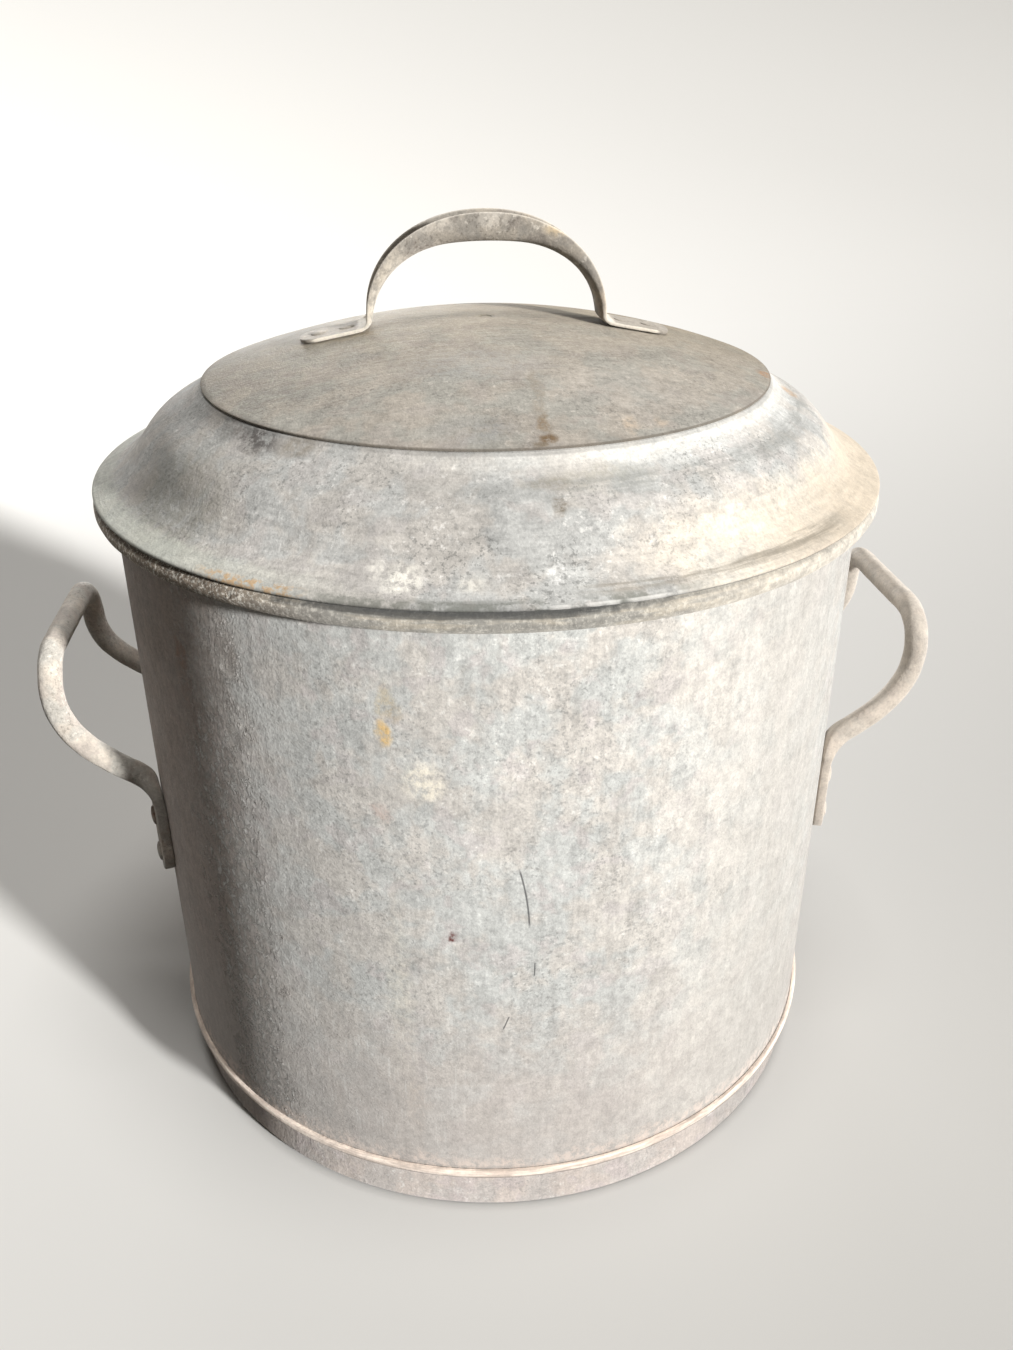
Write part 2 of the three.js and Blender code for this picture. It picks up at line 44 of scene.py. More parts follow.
view = {"place": (-0.0439, -0.5020, 0.4454), "turn": (62.216, 0.243, -6.039), "lens": 31.147}
lampColour = (1.0, 0.99, 0.975)
lamps = {
    "window": {"azimuth": -48, "height": 14, "strength": 4.3, "softness": 5},
    "softbox": {"azimuth": -60, "height": 82, "strength": 1.36, "softness": 24},
    "back": {"azimuth": 96, "height": 6, "strength": 1.8, "softness": 20},
}
world = {"colour": (0.054, 0.047, 0.04, 1), "seen": (0.72, 0.71, 0.69, 1)}
studio = {
    "floor": (226, 225, 222), "bounce": (50, 45, 40), "roughness": 0.9,
    "front": -6.0, "back": 1.7, "bend": 0.9, "tall": 4.0, "wide": 7.0,  # metres
}


def tint(red, green, blue):  # a colour as it is seen on screen, turned into the linear one that nodes take
    share = np.array([red, green, blue]) / 255
    linear = np.where(share <= 0.04045, share / 12.92, ((share + 0.055) / 1.055) ** 2.4)
    return (*linear.tolist(), 1.0)


class Wire:  # a shader socket; an expression with it adds its Math nodes
    def __init__(self, nodes, socket):
        self.nodes, self.socket = nodes, socket

    def math(self, operation, *values):
        return self.nodes.add("Math", {"operation": operation}, dict(enumerate(values)))

    def __add__(self, other): return self.math("ADD", self, other)
    def __sub__(self, other): return self.math("SUBTRACT", self, other)
    def __rsub__(self, other): return self.math("SUBTRACT", other, self)
    def __mul__(self, other): return self.math("MULTIPLY", self, other)
    def __truediv__(self, other): return self.math("DIVIDE", self, other)
    def __pow__(self, other): return self.math("POWER", self, other)
    def __abs__(self): return self.math("ABSOLUTE", self)
    def larger(self, other): return self.math("MAXIMUM", self, other)
    __radd__, __rmul__ = __add__, __mul__


class Nodes:  # a tree that is built node by node
    def __init__(self, tree):
        self.tree = tree

    def add(self, kind, settings={}, inputs={}, output=0):  # settings first, then socket values or links
        node = self.tree.nodes.new("ShaderNode" + kind)
        for key, value in settings.items():
            setattr(node, key, value)
        for key, value in inputs.items():
            self.set(node.inputs[key], value)
        return Wire(self, node.outputs[output])

    def set(self, socket, value):
        if isinstance(value, Wire):
            self.tree.links.new(value.socket, socket)
        else:
            socket.default_value = value

    def mix(self, amount, first, second):  # the Mix node's colours are its sockets 6 and 7, and come out at 2
        return self.add("Mix", {"data_type": "RGBA"}, {0: amount, 6: first, 7: second}, 2)

    def vector(self, operation, first, second):
        return self.add("VectorMath", {"operation": operation}, {0: first, 1: second})

    def scaled(self, vector, value):
        return self.add("VectorMath", {"operation": "SCALE"}, {0: vector, "Scale": value})

    def seen(self):  # 1 on the camera's own rays, straight, mirrored or through glass; 0 on rays that only carry light
        rays = ("Is Camera Ray", "Is Glossy Ray", "Is Transmission Ray")
        straight, mirrored, through = (self.add("LightPath", output=name) for name in rays)
        return straight.larger(mirrored).larger(through)


class Finish(Nodes):  # a material, whose colour is laid on in layers
    inputs = {"baseColor": "Base Color", "metallic": "Metallic", "roughness": "Roughness", "normal": "Normal"}

    def __init__(self, name):
        self.material = bpy.data.materials.new(name)
        self.material.use_nodes = True
        super().__init__(self.material.node_tree)
        self.shader = self.tree.nodes["Principled BSDF"]
        self.shader.inputs["Diffuse Roughness"].default_value = 1  # chalky zinc keeps its level up to the shade line
        self.shader.inputs["Specular IOR Level"].default_value = 0.15

    def feed(self, **values):  # baseColor=..., roughness=..., normal=... into the shader
        for key, value in values.items():
            self.set(self.shader.inputs[self.inputs[key]], value)

    def place(self, scale=(1, 1, 1)):  # Object coordinates in millimetres
        own = self.add("TexCoord", output="Object")
        return self.add("Mapping", {}, {"Vector": own, "Scale": [1000 * s for s in scale]})

    def noise(self, where, size, detail=3.0, rough=0.5, seed=0, output="Fac"):  # clouds about size mm across
        if seed:
            where = self.vector("ADD", where, (37.1 * seed, -17.3 * seed, 59.7 * seed))
        look = {"Vector": where, "Scale": 1 / size, "Detail": detail, "Roughness": rough}
        return self.add("TexNoise", {}, look, output)

    def warped(self, where, size, reach):  # the same place, pushed about by up to half of reach, mm
        push = self.vector("SUBTRACT", self.noise(where, size, 3, 0.6, 0, "Color"), (0.5, 0.5, 0.5))
        return self.vector("ADD", where, self.scaled(push, 2 * reach))

    def parts(self, where):
        return [self.add("SeparateXYZ", {}, {0: where}, axis) for axis in "XYZ"]

    def ringPlace(self, reach, fine):  # along the circle, squeezed, and down the profile: for ring streaks
        x, y, z, out = (self.values[name] for name in ("x", "y", "z", "out"))
        return self.add("CombineXYZ", {}, {0: x / out * reach, 1: y / out * reach, 2: (out - z) * fine})

    def step(self, value, low, high):  # 0 below low, 1 above high, smooth between; low may be the larger
        down = low > high
        ends = {"From Min": min(low, high), "From Max": max(low, high)}
        ends.update({"To Min": float(down), "To Max": float(not down)})
        return self.add("MapRange", {"interpolation_type": "SMOOTHSTEP"}, {"Value": value, **ends})

    def near(self, where, centre, radius, stretch=(1, 1, 1)):  # 1 at a point, 0 beyond the radius
        away = self.vector("DIVIDE", self.vector("SUBTRACT", where, centre), stretch)
        away = self.add("VectorMath", {"operation": "LENGTH"}, {0: away}, "Value")
        return self.step(away, radius, radius * 0.35)

    def pushed(self, name, reach=0, by="cloud"):  # a value by name; clouds may push it to and fro by half of reach
        value = self.values[name]
        return value + (self.values[by] - 0.5) * reach if reach else value

    def muted(self, share):  # the light and dark of the clouds, with only a share of their swing
        return 1 - share + self.level * share

    def shade(self, value):  # makes the colour so far lighter or darker
        self.colour = self.scaled(self.colour, value)

    def paint(self, amount, colour, level=None):  # lays a colour over the one so far, clouded if a level is given
        colour = tint(*colour)
        self.colour = self.mix(amount, self.colour, colour if level is None else self.scaled(colour[:3], level))

    # Paints one zone and gives back its mask: the product of its fades (value, low, high) and its bands (value,
    # middle, outer, inner), each with a push if the line is ragged. A ramp is a fade that runs from one share to
    # another, and a patchy zone follows the mottle: its least share and its rise.
    def zone(self, look, mask=1.0):
        for name, low, high, *push in look.get("fades", []):
            mask = self.step(self.pushed(name, *push), low, high) * mask
        for name, middle, outer, inner, *push in look.get("bands", []):
            mask = self.step(abs(self.pushed(name, *push) - middle), outer, inner) * mask
        if "ramp" in look:
            name, low, high, first, last = look["ramp"]
            mask = mask * (first + self.step(self.values[name], low, high) * (last - first))
        if "patchy" in look:
            least, rise = look["patchy"]
            mask = mask * (least + self.values["mottle"] * rise)
        level = self.muted(look["level"]) if "level" in look else None
        self.paint(mask * look.get("amount", 1), look["colour"], level)
        return mask

    def zones(self, looks):
        for look in looks:
            self.zone(look)


def makeCamera():
    lens = bpy.data.cameras.new("camera")
    lens.lens = view["lens"]
    lens.clip_start = 0.01
    camera = bpy.data.objects.new("camera", lens)
    camera.location = view["place"]
    camera.rotation_euler = [math.radians(turn) for turn in view["turn"]]
    scene.collection.objects.link(camera)
    scene.camera = camera


def makeLamps():
    for name, lamp in lamps.items():
        light = bpy.data.lights.new(name, "SUN")
        light.energy, light.color, light.angle = lamp["strength"], lampColour, math.radians(lamp["softness"])
        holder = bpy.data.objects.new(name, light)
        holder.rotation_euler = (math.radians(90 - lamp["height"]), 0, math.radians(90 + lamp["azimuth"]))
        scene.collection.objects.link(holder)
    scene.world = bpy.data.worlds.new("studio")
    scene.world.use_nodes = True
    sky = Nodes(scene.world.node_tree)
    sky.set(sky.tree.nodes["Background"].inputs["Color"], sky.mix(sky.seen(), world["colour"], world["seen"]))


# Skin over a grid of points, rows x columns: each row is a closed ring. The rows either close on each other,
# or end in two poles. Faces are turned outwards by the sign of the volume they enclose.
def skin(name, grid, poles=None):
    rows, cols = grid.shape[:2]
    points = grid.reshape(-1, 3)
    index = np.arange(rows * cols).reshape(rows, cols)
    last = rows if poles is None else rows - 1
    here, beside = index, np.roll(index, -1, 1)
    below, across = np.roll(index, -1, 0), np.roll(beside, -1, 0)
    quads = np.stack([here, beside, across, below], -1)[:last].reshape(-1, 4)
    fans = np.empty((0, 3), int)
    if poles is not None:
        top, bottom = np.full(cols, len(points)), np.full(cols, len(points) + 1)
        points = np.vstack([points, poles])
        fans = np.vstack([np.stack([top, beside[0], index[0]], -1), np.stack([bottom, index[-1], beside[-1]], -1)])
    corners = np.vstack([quads[:, [0, 1, 2]], quads[:, [0, 2, 3]], fans])
    a, b, c = (points[corners[:, i]] for i in range(3))
    if np.einsum("ij,ij->i", a, np.cross(b, c)).sum() < 0:
        quads, fans = quads[:, ::-1], fans[:, ::-1]
    mesh = bpy.data.meshes.new(name)
    mesh.from_pydata((points * 0.001).tolist(), [], quads.tolist() + fans.tolist())
    mesh.shade_smooth()
    mesh.set_sharp_from_angle(angle=math.radians(38))
    piece = bpy.data.objects.new(name, mesh)
    scene.collection.objects.link(piece)
    return piece


# Turns a closed profile of radius and height about Z; worn(angle, radius, height) may move its points a little
def turned(name, profile, worn=None, turns=288, extra=(), poles=None):
    angle = np.unique(np.concatenate([np.arange(turns) * 2 * np.pi / turns, np.asarray(extra, float)]))
    radius, height = (np.repeat(profile[:, i:i + 1], len(angle), 1) for i in range(2))
    if worn:
        radius, height = worn(angle[None, :], radius, height)
    grid = np.stack([radius * np.cos(angle), radius * np.sin(angle), height], -1)
    return skin(name, grid, poles)


def dress(piece, finish, body, slot, *nodes):
    piece.data.materials.append(finish.material)
    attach(piece, body)
    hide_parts(*nodes)


def arc(centre, radius, start, end, steps):  # points of a circular arc, degrees
    angle = np.radians(np.linspace(start, end, steps + 1))
    return np.stack([centre[0] + radius * np.cos(angle), centre[1] + radius * np.sin(angle)], -1)


# Cubic curve from one point to another that leaves and arrives along two directions; each tangent reaches
# 0.39 of the chord, which makes a 90 degree bend round. Gives the points and their directions.
def sweep(start, leave, end, arrive, steps):
    start, leave, end, arrive = (np.asarray(v, float) for v in (start, leave, end, arrive))
    reach = 0.39 * np.linalg.norm(end - start)
    first, second = start + reach * leave, end - reach * arrive
    t = np.linspace(0, 1, steps + 1)[:, None]
    points = (1 - t) ** 3 * start + 3 * t * (1 - t) ** 2 * first + 3 * t * t * (1 - t) * second + t ** 3 * end
    slopes = (1 - t) ** 2 * (first - start) + 2 * t * (1 - t) * (second - first) + t * t * (end - second)
    return points, slopes / np.linalg.norm(slopes, axis=1, keepdims=True)


def fall(start, leaveSlope, end, arriveSlope, steps):  # the same in a profile, by slopes below level, degrees
    down = [(math.cos(math.radians(s)), -math.sin(math.radians(s))) for s in (leaveSlope, arriveSlope)]
    return sweep(start, down[0], end, down[1], steps)[0][1:]


# A line moved sideways, to its right as it runs: at a corner by the mean of the two normals, mitred
def beside(line, distance):
    along = np.diff(line, axis=0)
    along /= np.linalg.norm(along, axis=1, keepdims=True)
    normal = np.stack([along[:, 1], -along[:, 0]], -1)
    before, after = np.vstack([normal[:1], normal]), np.vstack([normal, normal[-1:]])
    middle = before + after
    middle /= np.linalg.norm(middle, axis=1, keepdims=True)
    return line + middle * (distance / (middle * before).sum(1))[:, None]


# Rounds the corners of a closed outline that turn by more than 25 degrees: each becomes a quadratic curve
# between two points that lie a radius before and after it
def eased(outline, radius, steps=4):
    radius = np.broadcast_to(radius, len(outline))[:, None]
    back, ahead = np.roll(outline, 1, 0) - outline, np.roll(outline, -1, 0) - outline
    backLength, aheadLength = (np.linalg.norm(v, axis=1, keepdims=True) for v in (back, ahead))
    turn = (back * ahead).sum(1, keepdims=True) / (backLength * aheadLength)
    start = outline + back * np.minimum(radius / backLength, 0.45)
    end = outline + ahead * np.minimum(radius / aheadLength, 0.45)
    t = np.linspace(0, 1, steps + 1)[None, :, None]
    curve = (1 - t) ** 2 * start[:, None] + 2 * t * (1 - t) * outline[:, None] + t * t * end[:, None]
    bent = turn > -math.cos(math.radians(25))
    keep = np.where(bent, True, np.arange(steps + 1)[None, :] == steps // 2)
    curve = np.where(bent[..., None], curve, outline[:, None])
    return curve[keep]


# Rounded end of a flat strap: how far back each ring lies, and how much a quarter circle trims its half width
def roundedEnd(corner, length, ringsRound, ringsOn):
    turn = np.radians(np.linspace(0, 90, ringsRound))
    back = np.concatenate([corner * (1 - np.cos(turn)), np.linspace(corner, length, ringsOn)[1:]])
    return back, np.concatenate([corner * (1 - np.sin(turn)), np.zeros(ringsOn - 1)])


def straight(start, end, steps):
    return np.linspace(start, end, steps + 1)


def smooth(value, low, high):
    share = np.clip((value - low) / (high - low), 0, 1)
    return share * share * (3 - 2 * share)


# Slow unevenness of hand-worked sheet: three sine waves round the axis that drift with height, 0 to 1
def wander(angle, height, seed, waves=(3, 5, 8)):
    total = sum(np.sin(n * angle + height / (35 + 9 * n) + seed * (n + 1.7)) / n ** 0.5 for n in waves)
    return 0.5 + total / (2 * sum(n ** -0.5 for n in waves))


sheet, fit = 1.0, 0.3

# What every zinc finish has unless its own dictionary says otherwise. Sizes are in mm and the rest are shares;
# the ends are the two values of a noise between which a patch fades in. Each pattern is noise: how its place is
# stretched along x, y and z, or squeezed round and down a ring, then its size, detail, roughness and seed.
zinc = {
    "metallic": 0.07, "roughness": 0.52, "roughRange": 0.3, "ragged": 4, "warp": 10,
    "cloud": 11, "clouds": 0.75, "mottleSize": 3.4, "mottle": 0.8, "grainSize": 1.0, "grain": 0.5, "streaks": 0.4,
    "patch": 22, "warmEnds": (0.43, 0.57), "lilacEnds": (0.53, 0.63), "lilacShare": 0.75,
    "bloomSize": 2.4, "bloomEnds": (0.54, 0.68), "bloomPatch": 15, "bloomPatchEnds": (0.42, 0.62), "bloom": 0.55,
    "fleckSize": 1.5, "fleckEnds": (0.45, 0.35), "fleckPatch": 24, "fleckPatchEnds": (0.44, 0.6), "flecks": 0.55,
    "loneFlecks": 0.1, "fleckPlaces": [], "stainsAndShade": [], "stainEnds": (0.38, 0.58), "stainLeast": 0.2,
    "streak": ((1, 1, 0.1), 2.2, 3, 0.6, 7), "patterns": {},
    "relief": {"mottle": 0.7, "grain": 0.35, "cloud": 0.6}, "streakBump": 0.35, "bumpStrength": 0.7, "bumpDepth": 0.6,
}


# Zinc that has weathered: patches of cool and warm grey under clouds, a fine mottle and grain, streaks, dark
# flecks and white bloom in clusters, and stains and patches of painted shade given one by one as place, radius,
# colour, amount and stretch
def galvanised(name, look):
    finish = Finish(name)
    finish.look = look = {**zinc, **look}
    where = finish.place()
    loose = finish.warped(where, look["warp"], look["ragged"])
    x, y, z = finish.parts(where)
    finish.values = values = {"x": x, "y": y, "z": z, "out": (x * x + y * y) ** 0.5}
    values["cloud"] = cloud = finish.noise(loose, look["cloud"], 5, 0.66, 2)
    values["mottle"] = mottle = finish.noise(where, look["mottleSize"], 4, 0.72)
    values["grain"] = grain = finish.noise(where, look["grainSize"], 2, 0.6, 3)
    for pattern, (stretch, *clouds) in {"streak": look["streak"], **look["patterns"]}.items():
        place = finish.place(stretch) if len(stretch) == 3 else finish.ringPlace(*stretch)
        values[pattern] = finish.noise(place, *clouds)
    hue, other = finish.noise(loose, look["patch"], 3, 0.6), finish.noise(loose, look["patch"] * 0.8, 3, 0.6, 1)
    finish.colour = finish.mix(finish.step(hue, *look["warmEnds"]), tint(*look["cool"]), tint(*look["warm"]))
    finish.paint(finish.step(other, *look["lilacEnds"]) * look["lilacShare"], look["lilac"])
    bloom = finish.step(finish.noise(where, look["bloomSize"], 3, 0.7, 4), *look["bloomEnds"])
    bloom = bloom * finish.step(finish.noise(loose, look["bloomPatch"], 2, 0.5, 5), *look["bloomPatchEnds"])
    finish.paint(bloom * look["bloom"], look["white"])
    cluster = finish.step(finish.noise(loose, look["fleckPatch"], 2, 0.5, 6), *look["fleckPatchEnds"])
    for place, radius in look["fleckPlaces"]:
        cluster = cluster.larger(finish.near(loose, place, radius))
    fleck = finish.step(finish.noise(where, look["fleckSize"], 2, 0.65, 8), *look["fleckEnds"])
    fleck = fleck * (look["loneFlecks"] + cluster * (1 - look["loneFlecks"]))
    finish.paint(fleck * look["flecks"], look["fleck"])
    level = 1 + (cloud - 0.5) * look["clouds"] + (mottle - 0.5) * look["mottle"]
    finish.level = level + (grain - 0.5) * look["grain"] + (values["streak"] - 0.5) * look["streaks"]
    finish.shade(finish.level)
    patchy = look["stainLeast"] + finish.step(mottle, *look["stainEnds"]) * (1 - look["stainLeast"])
    for place, radius, paint, amount, *stretch in look["stainsAndShade"]:
        finish.paint(finish.near(loose, place, radius, *stretch) * patchy * amount, paint, finish.muted(0.5))
    relief = {**look["relief"], "streak": look["streakBump"]}
    finish.height = sum(values[name] * rise for name, rise in relief.items())
    finish.feed(metallic=look["metallic"], roughness=look["roughness"] + mottle * look["roughRange"])
    return finish


def finished(finish):
    strength, depth = finish.look["bumpStrength"], finish.look["bumpDepth"] * 0.001
    bump = finish.add("Bump", {}, {"Height": finish.height, "Strength": strength, "Distance": depth})
    finish.feed(baseColor=finish.colour, normal=bump)
    print("finish", finish.material.name)
    return finish


limeWhite = (244, 243, 239)
potLook = {
    "cool": (211, 212, 209), "warm": (216, 212, 206), "lilac": (213, 208, 205), "white": limeWhite,
    "fleck": (132, 132, 131), "flecks": 0.38, "streaks": 0.36, "streakBump": 0.1, "clouds": 0.6,
    "patterns": {
        "specks": ((1, 1, 0.6), 2.4, 4, 0.7, 9), "hairs": ((1, 1, 0.07), 1.3, 3, 0.6, 14),
        "around": ((16, 0.8), 2.6, 3, 0.65, 11), "dots": ((1, 1, 1), 1.3, 3, 0.7, 12),
    },
    "zones": [  # painted shade and light: the shaded side is tinted brownish, up to a painted highlight along the shade line, and the foot is warmer
        {"colour": (198, 182, 172), "amount": 0.7, "level": 1, "fades": [("x", -88, -128, 70)]},
        {"colour": (216, 209, 203), "amount": 0.75, "level": 0.55, "fades": [("z", 130, 50, 90)]},
        {"colour": limeWhite, "amount": 0.25, "level": 1, "fades": [("y", 0, -60)], "bands": [("x", -101, 24, 8, 30)]},
    ],
    "crustAndGlints": {  # raised specks along the shade line, painted white: lime crust, and painted highlights where the grazing light catches them; thinner high up
        "colour": limeWhite, "amount": 0.85, "rise": 6, "ramp": ("z", 250, 200, 0.35, 1),
        "fades": [("specks", 0.49, 0.6), ("y", 0, -60)], "bands": [("x", -114, 15, 6, 34)],
    },
    "scuff": {  # a patch of fine upright hairs
        "colour": limeWhite, "amount": 0.45, "fades": [("hairs", 0.55, 0.66), ("cloud", 0.42, 0.58), ("y", 0, -40)],
        "bands": [("x", -62, 52, 25), ("z", 72, 52, 25)],
    },
    "scratch": {"colour": (88, 88, 90), "amount": 0.8, "fades": [("y", 0, -10)]},
    "scratches": [  # each from x, z to x, z, with its bend and half its width
        ((-4.2, 184), (-0.2, 156), 3.2, 0.5), ((2, 139), (1.8, 132), 0, 0.4), ((-8, 112), (-10.5, 105), 0, 0.45),
    ],
    "clean": {  # painted light: the lit side is painted paler
        "colour": (228, 224, 217), "amount": 0.75, "level": 0.65, "fades": [("x", 20, 100, 110), ("x", 156, 118)],
    },
    "foot": {"colour": (232, 217, 206), "amount": 0.6, "fades": [("z", 36, 27, 22), ("mottle", 0.4, 0.6)]},
    # sides, middle and fade are painted shade: darker towards both sides and low down
    "sides": [((55, 130), 0.22), ((-5, -85), 0.13)], "middle": 160, "fade": 0.0012,
    "fleckPlaces": [((14, -159, 230), 34), ((-70, -143, 210), 26), ((-60, -148, 120), 30), ((-114, -112, 190), 46)],
    "stainsAndShade": [
        ((-50.5, -151.8, 239), 4.4, (236, 206, 150), 0.95, (1, 1, 1.5)),
        ((-49.5, -152, 252), 6, (214, 194, 152), 0.45, (0.8, 1, 1.7)),
        ((-45.5, -153.3, 247.5), 4, (172, 154, 122), 0.45, (1, 1, 1.5)),
        ((-29, -157.5, 151.5), 3.2, (104, 36, 24), 1),
        ((-37, -155.5, 220), 11, (246, 240, 226), 0.85),
        ((-53, -151, 206), 6, (206, 180, 168), 0.45),
        ((-50, -152, 110), 8, (230, 224, 210), 0.4, (1, 1, 9)),
        ((-46, -153.5, 60), 7, (196, 172, 146), 0.35, (1, 1, 3)),
        ((-125.6, -99.5, 249), 5.5, (196, 134, 92), 0.8, (1, 1, 1.6)),
        ((-125, -100, 236), 7, (140, 104, 78), 0.5, (1, 1, 3)),
        ((8.3, -159.8, 68.8), 1.8, (250, 250, 246), 0.9),
        ((-6.8, -159.9, 184), 3, (244, 243, 238), 0.5, (1, 1, 0.6)),
    ],
}
beadLook = {
    "tan": (194, 187, 174), "cool": (180, 177, 170), "tanEnds": (0.42, 0.6), "from": (281.2, 282.0),
    "swing": 0.8, "mottle": 1.1, "rough": (-60, -110), "roughMottle": 0.6,
    "zones": [  # rougher and browner at one side, paler at the other, with lime dots
        {"colour": (146, 129, 111), "amount": 0.75, "fades": [("x", -60, -110)]},
        {"colour": (228, 221, 209), "amount": 0.7, "fades": [("x", 20, 90)]},
        {"colour": (240, 236, 226), "fades": [("dots", 0.5, 0.6)], "ramp": ("x", -60, -110, 0.4, 0.9)},
    ],
    # painted shadow of the brim across the top of the bead
    "brimShadow": {
        "colour": (84, 86, 86), "amount": 0.8,
        "fades": [("z", 287.1, 288.5, 5, "around")], "bands": [("x", -25, 75, 35, 120)],
    },
    # painted shade: dark lines where the bead overhangs the wall and where the wall meets the pan
    "shadeLines": [
        {"colour": (72, 68, 62), "amount": 0.8, "patchy": (0.3, 0.8), "bands": [("z", 281.3, 1.3, 0.2)]},
        {"colour": (72, 68, 62), "amount": 0.2, "patchy": (0.3, 0.8), "bands": [("z", 26, 1.2, 0.2)]},
    ],
}


def makePotFinish():
    finish = galvanised("pot_zinc", potLook)
    x, z, around, mottle = (finish.values[name] for name in ("x", "z", "around", "mottle"))
    finish.zones(potLook["zones"])
    crustAndGlints = finish.zone(potLook["crustAndGlints"])
    finish.height = finish.height + crustAndGlints * potLook["crustAndGlints"]["rise"]
    finish.zone(potLook["scuff"])
    for start, end, bend, width in potLook["scratches"]:  # a parabola of x over z
        share = (z - start[1]) / (end[1] - start[1])
        middle = share * (end[0] - start[0]) + start[0] + share * (1 - share) * bend
        line = finish.step(abs(x - middle), width, width * 0.3) * finish.step(abs(share - 0.5), 0.52, 0.4)
        finish.zone(potLook["scratch"], line)
    finish.zone(potLook["clean"])
    sides = 1 - sum(finish.step(x, *across) * amount for across, amount in potLook["sides"])
    finish.shade((1 + (z - potLook["middle"]) * potLook["fade"]) * sides)  # painted shade: darker low down and towards both sides
    finish.zone(potLook["foot"])
    wall = finish.colour
    tan = finish.step(around, *beadLook["tanEnds"])
    finish.colour = finish.mix(tan, tint(*beadLook["cool"]), tint(*beadLook["tan"]))
    finish.zones(beadLook["zones"])
    dotted = beadLook["mottle"] + finish.step(x, *beadLook["rough"]) * beadLook["roughMottle"]
    finish.shade(1 + (around - 0.5) * beadLook["swing"] + (mottle - 0.5) * dotted)
    finish.zone(beadLook["brimShadow"])
    finish.colour = finish.mix(finish.step(z, *beadLook["from"]), wall, finish.colour)
    finish.zones(beadLook["shadeLines"])
    return finished(finish)


panLook = {
    **potLook, "cool": (205, 199, 194), "warm": (212, 203, 196), "lilac": (207, 198, 195),
    "stainsAndShade": [], "fleckPlaces": [], "clouds": 0.45, "mottle": 0.5, "flecks": 0.3,
    # level and side are painted light and shade: the pan is lifted a little and darker towards its right side
    "patterns": {"around": ((16, 0.9), 2.0, 3, 0.65, 11)}, "level": 1.08, "side": ((50, 120), 0.3),
}
ridgeLook = {
    "bright": (249, 237, 225), "bare": (232, 218, 206), "brightEnds": (0.42, 0.58), "from": (22.4, 23.8),
    "swing": 0.8, "mottle": 0.6,
    "rust": {
        "colour": (170, 138, 120), "ramp": ("around", 0.62, 0.42, 0.15, 0.65),
        "bands": [("z", 20.6, 2.2, 0.4, 3, "around")],
    },
    # painted shade: a dark line under the ridge and along the bottom edge
    "shadeLines": [
        {"colour": (112, 94, 80), "amount": 0.7, "patchy": (0.35, 0.7), "bands": [("z", 22.4, 1.0, 0.2, 2, "around")]},
        {"colour": (112, 94, 80), "amount": 0.5, "patchy": (0.35, 0.7), "fades": [("z", 1.6, 0.2)]},
    ],
}


def makePanFinish():
    finish = galvanised("pan_zinc", panLook)
    x, z, around, mottle = (finish.values[name] for name in ("x", "z", "around", "mottle"))
    # painted light and shade: lighter overall, darker towards the right side
    across, amount = panLook["side"]
    finish.shade(panLook["level"] - finish.step(x, *across) * amount)
    wall = finish.colour
    bright = finish.step(around, *ridgeLook["brightEnds"])
    finish.colour = finish.mix(bright, tint(*ridgeLook["bare"]), tint(*ridgeLook["bright"]))
    finish.shade(1 + (around - 0.5) * ridgeLook["swing"] + (mottle - 0.5) * ridgeLook["mottle"])
    finish.colour = finish.mix(finish.step(z, *ridgeLook["from"]), wall, finish.colour)
    finish.zone(ridgeLook["rust"])
    finish.zones(ridgeLook["shadeLines"])
    return finished(finish)


